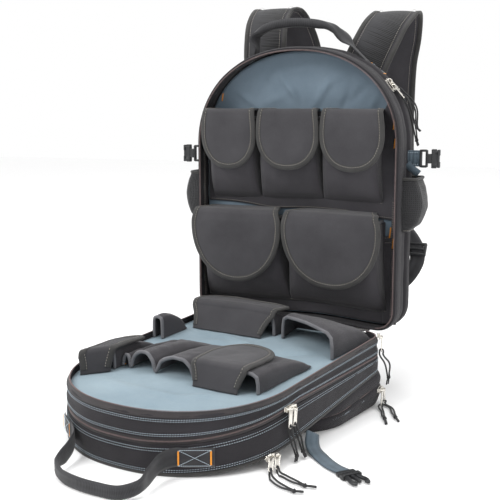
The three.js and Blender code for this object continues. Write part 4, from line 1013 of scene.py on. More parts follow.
def flap(name, place, node, left, right, fold, length, pocket_depth, lean=0.0, slant=0.0, power=2.4,
    start=0.42):
    middle, reach = (left + right) / 2, (right - left) / 2
    height = 1.06 * pocket_depth + 2.4 + 3.4
    turn_in = min(7.0, height * 0.3)
    line = [(fold + lean, CLEAR)]
    for k in range(7):
        a = k / 6 * math.pi / 2
        line.append((fold - turn_in * (1 - math.cos(a)), CLEAR + height - turn_in + turn_in * math.sin(a)))
    line += [(fold - length * s, CLEAR + height * (1.02 - 0.09 * s**1.5)) for s in np.linspace(0.16, 1, 24)]
    steps = np.concatenate([[0], np.cumsum([math.dist(a, b) for a, b in zip(line, line[1:])])])
    total = steps[-1]

    def width(v):
        over = (fold - v) / length
        if over <= start:
            return 0.93 + 0.07 * math.sin(max(over, 0) / start * math.pi / 2)
        return max(1 - ((over - start) / (1 - start)) ** power, 0.0) ** (1 / power)

    def across_at(d):
        """Place on the profile, how far up the pocket's wall it is, and the flap's half width there."""
        v = float(np.interp(d, steps, [p[0] for p in line]))
        rise = float(np.interp(d, steps, [p[1] for p in line]))
        wall_part = min(max(rise / (CLEAR + height * 0.8), 0), 1)
        return v, rise, wall_part, width(v) * (0.83 + 0.17 * wall_part**2)

    def shape(u, w):
        v, rise, wall_part, wide = across_at(w * total)
        across = 2 * u - 1
        x = middle + across * reach * wide
        rise -= 3.0 * across**4 * wall_part * wide
        ripple = wrinkle(x, v, rise, 38, 1.5) + wrinkle(v, x, 4, 13, 0.35)
        rise += wall_part * ripple * (1 - abs(across) ** 6)
        return place(x, v + slant * (x - middle) / (2 * reach), rise)

    sheet(name, 44, 64, shape, (2 * reach, total), FLAP_CLOTH, 2.2, 0.0, [node])
    outwards = (place(0, 1, 1) - place(0, 0, 0)).normalized()

    def inside_edge(inset):
        """Points and normals on the cloth, a distance inside its free edge."""
        along = total * np.linspace(0.06, 0.9995, 110)
        wide = np.array([reach * across_at(d)[3] for d in along])
        flat = np.concatenate([np.c_[-wide, along], np.c_[wide[::-1], along[::-1]]])
        run = np.gradient(flat, axis=0)
        run /= np.linalg.norm(run, axis=1)[:, None]
        flat = flat + inset * np.c_[run[:, 1], -run[:, 0]]
        points, ups = [], []
        for x, d in flat:
            w = min(max(d / total, 0.02), 0.99)
            u = min(max(0.5 + x / (2 * reach * max(across_at(w * total)[3], 0.01)), 0), 1)
            points.append(shape(u, w))
            over = shape(min(u + 0.02, 1), w) - shape(max(u - 0.02, 0), w)
            normal = over.cross(shape(u, w + 0.01) - shape(u, w - 0.01)).normalized()
            ups.append(normal if normal.dot(outwards) > 0 else -normal)
        return resample(points, ups, 200)

    path, ups = inside_edge(3.4)
    sweep(f"{name}_binding", path, strip_section(7.8, 3.6), ups, BINDING)
    path, ups = inside_edge(5.8)
    stitch(beige_stitches, path, ups, 4.0, 1.95)


def resample(points, ups, count):
    pts, nor = np.array(points), np.array(ups)
    steps = np.concatenate([[0], np.cumsum(np.linalg.norm(np.diff(pts, axis=0), axis=1))])
    at = np.linspace(0, steps[-1], count)
    new = [Vector([float(np.interp(d, steps, pts[:, k])) for k in range(3)]) for d in at]
    up = [Vector([float(np.interp(d, steps, nor[:, k])) for k in range(3)]).normalized() for d in at]
    return new, up


for name, left, right, fold, length, depth, power, start in (
    ("upper_flap_left", -0.467, -0.188, 0.783, 0.22, 44, 2.2, 0.4),
    ("upper_flap_middle", -0.178, 0.131, 0.783, 0.22, 44, 2.2, 0.4),
    ("upper_flap_right", 0.142, 0.446, 0.783, 0.22, 44, 2.2, 0.4),
    ("lower_flap_left", -0.512, -0.049, 0.407, 0.274, 52, 2.1, 0.22),
    ("lower_flap_right", -0.039, 0.444, 0.407, 0.274, 52, 2.1, 0.22),
):
    flap(name + "_cloth", on_rear, name, left * W, right * W, fold * L, length * L, depth, power=power,
        start=start)
for name, left, right, fold, length, depth, lean, slant in (
    ("left_pocket_flap", -0.43, -0.321, 0.762, 0.175, 27, 3, -0.1),
    ("right_pocket_flap", 0.061, 0.345, 0.695, 0.215, 27, 8, 0),
    ("hinge_pocket_flap", -0.473, 0.042, 0.145, 0.103, 34, 20, 0),
):
    flap(name + "_cloth", on_front, name, left * W, right * W, fold * L, length * L, depth, lean, slant * L,
         power=3.2 if name != "right_pocket_flap" else 2.6,
         start=0.72 if name != "right_pocket_flap" else 0.5)


# Sleeves, one strip stitched down between the tools' places

SEAMS = [share * W for share in (-0.335, -0.291, -0.152, 0.06)]
SLEEVE = [(0, 0), (0.14, 0.62), (0.34, 0.94), (0.5, 1.02), (0.66, 1), (0.88, 0.62), (1, 0)]


def sleeve_shape(u, w):
    x = SEAMS[0] + u * (SEAMS[-1] - SEAMS[0])
    k = max(i for i in range(3) if SEAMS[i] <= x + 1e-6)
    width = SEAMS[k + 1] - SEAMS[k]
    t = min(max((x - SEAMS[k]) / width, 0), 1)
    full = min(1, width / (SEAMS[1] - SEAMS[0]) / 1.5)
    deep = smooth([(0, 0.03), (0.2, 0.45), (0.6, 0.85), (1, 1)], w, 1)
    lift = smooth(SLEEVE, t, 1) * full * deep
    v = (0.35 + w * (0.666 - 0.35)) * L
    return on_front(x, v, CLEAR + 1.6 + lift * 24 + lift * (wrinkle(x, v, 2, 16, 1.2)))


sheet("tool_sleeves_cloth", 120, 50, sleeve_shape, (150, 135), CLOTH, 1.8, 0.0, ["tool_sleeves"])
lip = [sleeve_shape(u, 1.0) for u in np.linspace(0, 1, 160)]
lip_ups = [(sleeve_shape(u, 1.0) - sleeve_shape(u, 0.96)).normalized() for u in np.linspace(0, 1, 160)]
sweep("tool_sleeves_binding", lip, strip_section(3.0, 4.6), lip_ups, GREY_BINDING)
for seam_x in SEAMS:
    u = (seam_x - SEAMS[0]) / (SEAMS[-1] - SEAMS[0])
    path = [sleeve_shape(u, w) for w in np.linspace(0.02, 0.97, 40)]
    stitch(beige_stitches, path, Z, 2.6, 0.8)
    end = sleeve_shape(u, 0.985)
    bartack(end + Vector((-3, 0, 0.6)), end + Vector((3, 0, 0.6)), Z, 3.4)


# Handles and webbing

def arch_at(x, outset):
    half = PACK_WIDTH / 2

    def rise(a):
        return ARCH_HEIGHT * (1 - abs(a / half) ** ARCH_POWER) ** (1 / ARCH_POWER)

    slope = rise(x + 0.5) - rise(x - 0.5)
    size = math.hypot(slope, 1)
    return x - slope / size * outset, PACK_LENGTH - ARCH_HEIGHT + rise(x) + outset / size


def banded(stations, count):
    """Path, size factors and normals through rows of point, width, thickness and width direction."""
    path = bezier_like([s[0] for s in stations], count)
    scales, ups = [], []
    for k in range(count + 1):
        at = k / count * (len(stations) - 1)
        i = min(int(at), len(stations) - 2)
        t = at - i
        t = t * t * (3 - 2 * t)
        a, b = stations[i], stations[i + 1]
        scales.append((a[1] + (b[1] - a[1]) * t, a[2] + (b[2] - a[2]) * t))
        ups.append(a[3].lerp(b[3], t))
    normals = []
    for k in range(count + 1):
        tangent = (path[min(k + 1, count)] - path[max(k - 1, 0)]).normalized()
        normals.append(tangent.cross(ups[k]).normalized())
    return path, scales, normals


UNIT = strip_section(1, 1, 8)
UNIT = [(a / max(abs(p[0]) for p in UNIT) * 0.5, b) for a, b in UNIT]
SIDEWAYS, DEEP = Vector((1, 0, 0)), Vector((0, 1, 0))

TOP_HANDLE_RISE, FRONT_HANDLE_REACH = 49, 82
handle_depth = REAR_DEPTH - 11


def top_tab(x):
    px, v = arch_at(x * W, 6.1)
    return rear(px, handle_depth, v)


def above(x, rise):
    return rear(x * W, handle_depth, L + rise * TOP_HANDLE_RISE)


GRIP = 14
SLANT = Vector((0.75, 0.66, 0))
top_rows = [
    (top_tab(-0.37), 25, 2, DEEP), (top_tab(-0.335), 25, 2, DEEP), (top_tab(-0.295), 25, 2, DEEP),
    (above(-0.275, 0.1), 25, 2, DEEP), (above(-0.29, 0.46), 21, 4, SLANT),
    (above(-0.235, 0.8), GRIP, 13, DEEP), (above(-0.1, 0.97), GRIP, 14, DEEP),
    (above(0.04, 0.9), GRIP, 14, DEEP), (above(0.115, 0.77), 18, 9, SLANT),
    (above(0.175, 0.45), 25, 2.4, SLANT), (above(0.235, 0.06), 25, 2, DEEP), (top_tab(0.3), 25, 2, DEEP),
    (top_tab(0.335), 25, 2, DEEP), (top_tab(0.37), 25, 2, DEEP),
]
path, scales, normals = banded(top_rows, 130)
sweep("top_handle_webbing", path, UNIT, normals, BLACK_WEBBING, scales=scales,
    nodes=["top_handle"])


def front_tab(x, height=27):
    px, v = arch_at(x * W, 6.4)
    return front(px, v, height)


def out(x, reach, height):
    return front(x * W, L + reach * FRONT_HANDLE_REACH, height)


GRIP_MID = 9.6
front_rows = [
    (front_tab(-0.37), 25, 2, Z), (front_tab(-0.33), 25, 2, Z), (front_tab(-0.29), 25, 2, Z),
    (front_tab(-0.25), 25, 2, Z), (out(-0.2, 0.08, 24), 25, 2, Z), (out(-0.16, 0.42, 18), 25, 2, Z),
    (out(-0.14, 0.7, 14), 18, 5.2, Z), (out(-0.07, 0.9, GRIP_MID), 18, 5.6, Z),
    (out(0.03, 1, GRIP_MID), 18, 5.6, Z), (out(0.13, 1, GRIP_MID), 18, 5.6, Z),
    (out(0.22, 0.92, GRIP_MID), 18, 5.6, Z), (out(0.265, 0.72, 14), 18, 5.2, Z),
    (out(0.25, 0.42, 18), 25, 2, Z), (out(0.235, 0.08, 24), 25, 2, Z), (front_tab(0.25), 25, 2, Z),
    (front_tab(0.29), 25, 2, Z), (front_tab(0.33), 25, 2, Z), (front_tab(0.37), 25, 2, Z),
]
path, scales, normals = banded(front_rows, 150)
sweep("front_handle_webbing", path, UNIT, normals, BLACK_WEBBING, scales=scales,
    nodes=["front_handle"])


def cross_box(corners, normal):
    """The sewn box with its cross, and a bartack down each short side."""
    a, b, c, d = corners
    for p, q in ((a, b), (b, c), (c, d), (d, a), (a, c), (b, d)):
        path = [p.lerp(q, k / 12) for k in range(13)]
        stitch(blue_stitches, path, normal, 2.6, 0.3)
    bartack(a.lerp(d, 0.06), a.lerp(d, 0.94), normal, 3)
    bartack(b.lerp(c, 0.06), b.lerp(c, 0.94), normal, 3)


def sewn_box(place, outset, left, right, low, high, centre):
    """A cross box on the arch, between two shares of the width, facing away from the centre."""
    corners = []
    for x, across in ((left, low), (right, low), (right, high), (left, high)):
        px, v = arch_at(x * W, outset)
        corners.append(place(px, v, across))
    facing = (corners[1] - corners[0]).cross(corners[3] - corners[0]).normalized()
    cross_box(corners, facing if facing.dot(corners[0] - centre) > 0 else -facing)


def on_top(x, v, across):
    return rear(x, handle_depth + across, v)


for left, right in ((0.265, 0.36), (-0.36, -0.265)):
    sewn_box(front, 8.4, left, right, 17, 37, front(0, L * 0.5, 27))
for left, right in ((0.3, 0.365), (-0.365, -0.3)):
    sewn_box(on_top, 7.5, left, right, -9, 9, on_top(0, L * 0.5, 0))


# Padded shoulder straps, filled by a short cloth simulation with their bound edges held

LEFT_COURSE = [
    (-0.236, 0, 0.832, 0.95), (-0.267, 0.01, 0.949, 1), (-0.273, 0.05, 1.042, 1), (-0.275, 0.2, 1.13, 1),
    (-0.262, 0.45, 1.178, 1), (-0.234, 0.7, 1.162, 1), (-0.19, 0.88, 1.083, 1), (-0.158, 0.97, 0.972, 1),
    (-0.158, 1, 0.832, 1), (-0.188, 0.96, 0.692, 0.98), (-0.255, 0.87, 0.551, 0.93),
    (-0.345, 0.72, 0.423, 0.82), (-0.41, 0.57, 0.343, 0.6),
]
RIGHT_COURSE = [
    (0.218, 0, 0.832, 0.95), (0.255, 0.01, 0.937, 1), (0.306, 0.06, 1.03, 1), (0.352, 0.19, 1.107, 1),
    (0.388, 0.43, 1.15, 1), (0.384, 0.69, 1.14, 1), (0.37, 0.87, 1.07, 1), (0.345, 0.97, 0.972, 1),
    (0.336, 1, 0.832, 1), (0.34, 0.96, 0.692, 0.98), (0.358, 0.87, 0.551, 0.93),
    (0.388, 0.72, 0.423, 0.82), (0.42, 0.57, 0.343, 0.6),
]
STRAP_FACE = REAR_DEPTH + CLEAR + BACK_PANEL + CLEAR + STRAP_THICK / 2


def strap_rows(course, width, thick):
    return [(rear(a * W, STRAP_FACE + b * STAND_OFF, u * L), width * f, thick, SIDEWAYS)
        for a, b, u, f in course]


def fill_with_air(obj, held, pressure, length=12):
    """A few frames of cloth under pressure, its seams held, kept as the piece's shape."""
    group = obj.vertex_groups.new(name="sewn")
    group.add(held, 1.0, "REPLACE")
    cloth = obj.modifiers.new("filling", "CLOTH")
    cloth.settings.quality = 5
    cloth.settings.mass = 0.25
    cloth.settings.effector_weights.gravity = 0
    cloth.settings.use_pressure = True
    cloth.settings.uniform_pressure_force = pressure
    cloth.settings.vertex_group_mass = "sewn"
    cloth.settings.tension_stiffness = 60
    cloth.settings.compression_stiffness = 60
    cloth.settings.shear_stiffness = 30
    cloth.settings.bending_stiffness = 8
    cloth.collision_settings.use_collision = False
    cloth.point_cache.frame_start = 1
    cloth.point_cache.frame_end = length
    for number in range(1, length + 1):
        bpy.context.scene.frame_set(number)
    done = obj.evaluated_get(bpy.context.evaluated_depsgraph_get()).to_mesh()
    co = np.zeros(len(done.vertices) * 3)
    done.vertices.foreach_get("co", co)
    obj.modifiers.remove(cloth)
    obj.data.vertices.foreach_set("co", co)
    bm = bmesh.new()
    bm.from_mesh(obj.data)
    bm.verts.ensure_lookup_table()
    sewn = set(held)
    loose = [v for v in bm.verts if v.index not in sewn]
    for _ in range(10):
        bmesh.ops.smooth_vert(bm, verts=loose, factor=0.5, use_axis_x=True, use_axis_y=True,
            use_axis_z=True)
    bm.to_mesh(obj.data)
    bm.free()
    obj.data.update()
    bpy.context.scene.frame_set(1)
    smoother = obj.modifiers.new("smooth", "SUBSURF")
    smoother.levels = smoother.render_levels = 1


def pad_section(count=12):
    """A flat lens, its two edges at the ends of the width."""
    top = [(0.5 - k / count, 0.5 * math.sin(math.pi * k / count) ** 0.35) for k in range(count + 1)]
    return top + [(x, -y) for x, y in reversed(top[1:-1])]


PAD = pad_section()
for tag, course in (("left", LEFT_COURSE), ("right", RIGHT_COURSE)):
    path, scales, normals = banded(strap_rows(course, STRAP_WIDTH, STRAP_THICK * 0.8), 96)
    scales = [(w, t * (0.3 + 0.7 * min(1, 12 * min(k, 96 - k) / 96))) for k, (w, t) in enumerate(scales)]
    strap = sweep(f"shoulder_strap_{tag}_pad", path, PAD, normals, CLOTH, scales=scales,
        nodes=[f"shoulder_strap_{tag}"])
    strap.data.materials.append(MESH_CLOTH)
    spots = frames(path, normals)
    seam_ids = []
    for vert in strap.data.vertices:
        p = vert.co * 1000 - OFFSET
        k = min(range(len(path)), key=lambda i: (path[i] - p).length_squared)
        if abs((p - path[k]).dot(spots[k][1])) > scales[k][0] * 0.47 or k in (0, 96):
            seam_ids.append(vert.index)
    for poly in strap.data.polygons:
        p = poly.center * 1000 - OFFSET
        k = min(range(len(path)), key=lambda i: (path[i] - p).length_squared)
        across = (p - path[k]).dot(spots[k][1])
        if (p - path[k]).dot(spots[k][2]) < 0 and abs(across) < scales[k][0] * 0.44:
            poly.material_index = 1
    fill_with_air(strap, seam_ids, 1.6)
    for side in (-1, 1):
        rim = [p + s * (side * scales[k][0] * 0.5) for k, (p, (_, s, _)) in enumerate(zip(path, spots))]
        side_ups = [n for _, _, n in spots]
        sweep(f"shoulder_strap_{tag}_edge_{'in' if side < 0 else 'out'}", rim, strip_section(6, 4.2),
            side_ups, BINDING)
        line = [p + s * (side * (scales[k][0] * 0.5 - 7))
            for k, (p, (_, s, _)) in enumerate(zip(path, spots))]
        stitch(beige_stitches, [p + n * 3.6 for p, n in zip(line, side_ups)], side_ups, 3.4, 0.5)
        stitch(beige_stitches, [p - n * 3.6 for p, n in zip(line, side_ups)], [-n for n in side_ups], 3.4,
            0.5)

LOWER_COURSE = [
    (0.426, 0.55, 0.329, 1), (0.485, 0.4, 0.294, 1), (0.527, 0.26, 0.252, 1), (0.536, 0.13, 0.21, 1),
    (0.5, 0, 0.155, 1), (0.43, -0.035, 0.11, 1),
]
for side, tag in ((-1, "left"), (1, "right")):
    course = [(side * a, b, u, f) for a, b, u, f in LOWER_COURSE]
    rows = strap_rows(course, WEBBING, 2)
    path, scales, normals = banded(rows, 50)
    webbing_bm = sweep_mesh(path, UNIT, normals, False, scales)
    strap = settle(webbing_bm, f"lower_strap_{tag}_webbing", BLACK_WEBBING,
        [f"lower_strap_{tag}"])
    at = rows[2][0]
    parts = []
    turn = Matrix.Translation(at) @ Matrix.Rotation(-0.7, 4, "X")
    for x, z, w, h in ((-14, 0, 4.6, 24), (14, 0, 4.6, 24), (0, -10, 28, 4.4), (0, 10, 28, 4.4),
        (0, 0, 28, 3.6)):
        bar = block(w, 6.5, h, 1.4, 3)
        bmesh.ops.transform(bar, matrix=turn @ Matrix.Translation((x, 0, z)), verts=bar.verts)
        for vert in bar.verts:
            vert.co = row(vert.co)
        parts.append(bar)
    merged(f"adjuster_{tag}", parts, PLASTIC)


# Outer pocket under the front half, with its zip and bands

POCKET_BANDS = [
    (0, -3.0), (0.04, -0.6), (0.1, 1.6), (0.25, 4.6), (0.45, 7), (0.55, 6.4), (0.585, 4.2), (0.655, 4.2),
    (0.69, 5.6), (0.8, 6.4), (0.92, 4.4), (1, 1),
]


def pocket_foot():
    """Footprint as (x, v, outward x, outward v): rounded corners at the hinge, one long arc at the end."""
    inner = W / 2 - CORNER
    points = [(x, 0.0, 0.0, -1.0) for x in np.linspace(-inner, inner, 40)]

    def arc(first, last, at_x, at_v, reach_x, reach_v, count):
        for a in np.linspace(first, last, count):
            ox, ov = math.cos(a), math.sin(a)
            points.append((at_x + reach_x * ox, at_v + reach_v * ov, ox, ov))

    arc(-math.pi / 2, 0, inner, CORNER, CORNER, CORNER, 14)
    points.extend((W / 2, v, 1.0, 0.0) for v in np.linspace(CORNER, 0.3 * L, 16)[1:-1])
    arc(0, math.pi, 0, 0.3 * L, W / 2, 0.25 * L, 90)
    points.extend((-W / 2, v, -1.0, 0.0) for v in np.linspace(0.3 * L, CORNER, 16)[1:-1])
    arc(math.pi, 1.5 * math.pi, -inner, CORNER, CORNER, CORNER, 14)
    return points


FOOT = pocket_foot()


def pocket_wall(i, share, extra=0.0):
    x, v, ox, ov = FOOT[i % len(FOOT)]
    outset = smooth(POCKET_BANDS, share, 1) + extra
    px, pv = x + ox * outset, v + ov * outset
    height = 0.6 + share * (front_base(pv) - CLEAR - 0.6)
    return front(px, pv, height), front(px + ox, pv + ov, 0) - front(px, pv, 0)


def outer_pocket_cloth(u, w):
    i = round(u * len(FOOT))
    if w < 0.3:
        rim_point, _ = pocket_wall(i, 0)
        centre = front(0, 0.28 * L, 0.6)
        p = centre.lerp(rim_point, max(w / 0.3, 1e-4) ** 0.7)
        return Vector((p.x, p.y, 0.6 + 0.5 * max(0.0, wrinkle(p.x, p.y, 2, 30, 1)) * (1 - w / 0.3)))
    share = (w - 0.3) / 0.7
    p, out = pocket_wall(i, share)
    slack = math.sin(math.pi * share) ** 0.6
    return p + out * slack * (wrinkle(p.x, p.y, p.z, 24, 1.1) + wrinkle(p.x, p.y, 2 * p.z, 9, 0.4))


sheet("outer_pocket_cloth", len(FOOT), 40, outer_pocket_cloth, (1150, 150), GUSSET_CLOTH,
    1.4, -1.0, ["outer_pocket"])


def pocket_rail(share, extra, first=30, last=-1):
    rows = [pocket_wall(i, share, extra) for i in range(first, len(FOOT) + last)]
    return [p for p, _ in rows], [o for _, o in rows]


for share in (0.17, 0.2, 0.47, 0.5, 0.75, 0.78):
    path, ups = pocket_rail(share, 0.4)
    stitch(blue_stitches, path, ups)
path, ups = pocket_rail(0.62, 0.9)
places = along_path(path, ups, 1.7)
array("outer_pocket_coil", bead(1.5, 2.7, 1.5), places, COIL_THREAD)
path, ups = pocket_rail(0.62, 0.35)
sweep("outer_pocket_tape", path, strip_section(6, 0.5), ups, TAPE)
for share in (0.555, 0.69):
    path, ups = pocket_rail(share, 0.5)
    sweep(f"outer_pocket_fold_{round(share * 100)}", path, ring_section(1.0, 10, 0.7), ups, GUSSET_CLOTH)
path, ups = pocket_rail(0.0, 0.2, 0, 0)
sweep("outer_pocket_piping", [p + Z * 1.4 for p in path], ring_section(1.8), ups, BINDING,
    closed=True)


# Cloth of the hinge, between the two halves

def hinge_shape(u, w):
    x = 0.385 * W * (2 * u - 1)
    line = math.tan(TURN) * x
    y0, y1 = min(line, 0) - 3.6, max(line, 0) + 7.6
    dip = math.sin(math.pi * w) ** 0.8
    level = FRONT_HINGE - 1.4 - 1.8 * dip + 1.1 * w - sag(x, 0) * max((w - 0.35) / 0.65, 0)
    return Vector((x, y0 + (y1 - y0) * w, level + wrinkle(x, w * 20, 1, 18, 0.7) * dip))


sheet("hinge_cloth_fold", 90, 24, hinge_shape, (254, 30), CLOTH, 1.6, -1.0, ["hinge_cloth"])
for w in (0.08, 0.92):
    path = [hinge_shape(u, w) for u in np.linspace(0, 1, 80)]
    stitch(beige_stitches, path, Z, 3.2, 0.5)
path = [hinge_shape(u, 1.0) for u in np.linspace(0, 1, 80)]
sweep("hinge_binding", path, strip_section(5, 2.6), Z, BINDING)


# Back panel, padded spacer mesh in channels

def back_shape(x, v, w):
    level = smooth([(0, 0.9), (0.55, 1), (0.85, 0.95), (0.95, 0.72), (1, 0.22)], w, 1)
    groove = 0.42 * math.exp(-(x / 9) ** 2) + 0.3 * math.exp(-((abs(x) - 92) / 8) ** 2)
    for line in (110, 230, 330):
        groove += 0.26 * math.exp(-((v - line) / 8) ** 2) * (1 if abs(x) > 10 else 0.5)
    level *= 1 - min(groove, 0.6) * (1 - w**6)
    return rear(x, REAR_DEPTH + CLEAR + level * BACK_PANEL, v)


back = disc("back_panel_mesh", back_shape, 0.6, 260, MESH_CLOTH, 0, ["back_panel"])
path, ups = [], []
for s in np.linspace(0, PERIMETER, 300)[:-1]:
    x, v, ox, ov = edge(s, 0.2)
    path.append(rear(x, REAR_DEPTH + CLEAR + 1.6, v))
    ups.append(Vector((ox, 0, ov)))
sweep("back_panel_binding", path, strip_section(4.4, 2.4), ups, BINDING, closed=True)


# Bottle pockets of mesh on the rear half's sides

for side, tag in ((-1, "left"), (1, "right")):
    def on_side(y, v, rise, side=side):
        return rear(side * (W / 2 + 3.5 + rise), y, v)

    shape = pocket(f"mesh_pocket_{tag}_cloth", on_side, MESH_CLOTH, BINDING, [f"mesh_pocket_{tag}"],
                   left=REAR_DEPTH * 0.27, right=REAR_DEPTH * 0.95, closed=0.346 * L, mouth=0.537 * L,
                   depth=32,
                   rows=SIDE_ROWS, thick=1.2, puff=1.4)
    hem = [shape(u, 0.03) for u in np.linspace(0.05, 0.95, 60)]
    stitch(beige_stitches, hem, Vector((side, 0, 0)), 3.0, 0.6)


# Side webbing with its buckles

def female_buckle():
    """Half of a side release buckle: bar frame, narrow waist and a forked end with ears."""
    parts = []
    for x, z, across, tall, deep in (
        (-13.6, 0, 3.2, 28, 7), (-8.4, 12.4, 9, 3.6, 7), (-8.4, -12.4, 9, 3.6, 7), (-4.2, 0, 3.4, 27, 7.4),
        (0.4, 0, 9, 15, 8.4),
        (9.6, 0, 12, 25, 9.4), (7.4, 12.2, 8, 5.4, 7.4), (7.4, -12.2, 8, 5.4, 7.4),
        (14.6, 9.4, 4, 9.6, 8.4), (14.6, -9.4, 4, 9.6, 8.4),
    ):
        bm = block(across, deep, tall, 1.2, 3)
        if across == 12:
            for sign in (-1, 1):
                face = max(bm.faces, key=lambda f: f.normal.y * sign * 1000 + f.calc_area())
                bmesh.ops.inset_region(bm, faces=[face], thickness=2.4)
                bmesh.ops.translate(bm, vec=(0, -1.6 * sign, 0), verts=face.verts[:])
        bmesh.ops.translate(bm, vec=(x, 0, z), verts=bm.verts)
        parts.append(bm)
    return parts


def placed(bm, where):
    bmesh.ops.transform(bm, matrix=where, verts=bm.verts)
    for vert in bm.verts:
        vert.co = row(vert.co)
    return bm


for side, tag in ((-1, "left"), (1, "right")):
    y, v = REAR_DEPTH * 0.7, 0.607 * L
    start, end = W / 2 + 3.5 + CLEAR, W / 2 + 23
    turn = Matrix.Rotation(math.pi if side < 0 else 0, 4, "Z")
    at = Matrix.Translation(rear(side * (end + 16), y, v))
    merged(f"side_buckle_{tag}_body", [placed(bm, at @ turn) for bm in female_buckle()], PLASTIC,
        [f"side_buckle_{tag}"])
    path = [rear(side * x, y + 0.8 * math.sin(x), v) for x in np.linspace(start - 1, end + 4, 14)]
    sweep(f"side_webbing_{tag}_band", path, strip_section(24, 2.6), Vector((0, 1, 0)), BLUE_WEBBING,
        nodes=[f"side_webbing_{tag}"])
    for z in (-9, 9):
        line = [rear(side * x, y - 1.8, v + z) for x in np.linspace(start + 1, end - 1, 8)]
        stitch(blue_stitches, line, BACK, 2.8, 0.1)
    tail = [rear(side * x, y - 3 + drop * 0.1, v - drop)
        for x, drop in ((start, 8), (start + 7, 15), (start + 15, 21), (end, 24))]
    sweep(f"side_webbing_{tag}_tail", bezier_like(tail, 14), strip_section(11, 1.6), DEEP, BLUE_WEBBING)


# Compression strap, its keeper and the plug half of its buckle

STRAP_COURSE = [
    (0.523, 0.5305, 20, 0.2), (0.548, 0.5634, 7, 0.7), (0.615, 0.6056, 2.4, 1), (0.703, 0.6526, 2.4, 1),
    (0.764, 0.6737, 3.4, 1),
]
stations = [
    (front(a * W, b * L, c), 0.88 * WEBBING, 1.5, Vector((-0.5, -0.85, 0.5 * (1 - t))))
    for a, b, c, t in STRAP_COURSE
]
turned = Matrix.Rotation(TURN, 3, "Z")
stations = [(p, width, thick, turned @ across) for p, width, thick, across in stations]
path, scales, normals = banded(stations, 60)
strap = sweep("compression_strap_band", path, UNIT, normals, BLUE_WEBBING, scales=scales,
    nodes=["compression_strap"])
strap_length = sum((b - a).length for a, b in zip(path, path[1:])) / 1000

line_way = turned @ Vector((0.86, -0.5, 0)).normalized()
line_side = Z.cross(line_way)
strap_end = stations[-1][0]


def on_strap(along, height):
    where = Matrix((line_way, line_side, Z)).transposed().to_4x4()
    where.translation = Vector((strap_end.x, strap_end.y, 0)) + line_way * along + Z * height
    return where


def plug_buckle():
    """Plug half: root with its bar, guide and two sprung arms with barbs."""
    bms = []
    for x, y, w, d, h in ((2, 0, 3.6, 27, 7), (-2, 0, 3.2, 27, 5), (1, -12, 9, 3.6, 6.4),
        (1, 12, 9, 3.6, 6.4)):
        bms.append(block(w, d, h, 0.9, 3))
        bmesh.ops.translate(bms[-1], vec=(x, y, 0), verts=bms[-1].verts)
    guide = block(20, 4.4, 4.4, 1.2, 3)
    bmesh.ops.translate(guide, vec=(13, 0, 0), verts=guide.verts)
    bms.append(guide)
    for side in (-1, 1):
        arm = sweep_mm([Vector((2, side * 8, 0)), Vector((10, side * 8.6, 0)),
                Vector((18, side * 10.6, 0)), Vector((25, side * 9.4, 0)), Vector((27.5, side * 7, 0))],
                       strip_section(4.6, 3.2), Z)
        bms.append(arm)
        barb = block(6, 3.6, 4.6, 1.2, 3)
        bmesh.ops.translate(barb, vec=(20, side * 11, 0), verts=barb.verts)
        bms.append(barb)
    return bms


def sweep_mm(points, section, up):
    """A short solid bar in millimetres, through smooth points."""
    path = bezier_like(points, 16)
    bm = sweep_mesh(path, section, up)
    for vert in bm.verts:
        vert.co = vert.co * 1000 - OFFSET
    return bm


merged("male_buckle_body", [placed(bm, on_strap(15.1, 4)) for bm in plug_buckle()], PLASTIC,
    ["male_buckle"])
keeper_parts = []
for dy, dz, w, h in ((0, 2, 25, 1.2), (0, -2, 25, 1.2), (-12.2, 0, 1.4, 4.4), (12.2, 0, 1.4, 4.4)):
    bar = block(6.6, w, h, 0.4, 2)
    bmesh.ops.translate(bar, vec=(0, dy, dz), verts=bar.verts)
    keeper_parts.append(placed(bar, on_strap(5.3, 3.1)))
merged("strap_keeper_loop", keeper_parts, PLASTIC, ["strap_keeper"])


# Zip sliders with their pull tabs

def pull_tab():
    """Flat tab with a round end and a hole: a circle stretched to a capsule, bridged to its hole."""
    bm = bmesh.new()
    outer = bmesh.ops.create_circle(bm, segments=32, radius=4)["verts"]
    bmesh.ops.create_circle(bm, segments=32, radius=2.5)
    for vert in outer:
        if vert.co.y > 1e-4:
            if vert.co.y > 2:
                vert.co = Vector((4 if vert.co.x > 1e-4 else -4 if vert.co.x < -1e-4 else 0, 20, 0))
            else:
                vert.co = Vector((vert.co.x, vert.co.y * 4, 0))
    bmesh.ops.bridge_loops(bm, edges=bm.edges[:])
    bmesh.ops.solidify(bm, geom=bm.faces[:], thickness=1.6)
    bmesh.ops.recalc_face_normals(bm, faces=bm.faces)
    sharp = [e for e in bm.edges if len(e.link_faces) == 2 and e.calc_face_angle(0) > 0.8]
    bmesh.ops.bevel(bm, geom=sharp, offset=0.35, segments=2, profile=0.5, affect="EDGES", material=-1)
    middle = sum((v.co.z for v in bm.verts), 0.0) / len(bm.verts)
    bmesh.ops.translate(bm, vec=(0, -20, -middle), verts=bm.verts)
    return bm


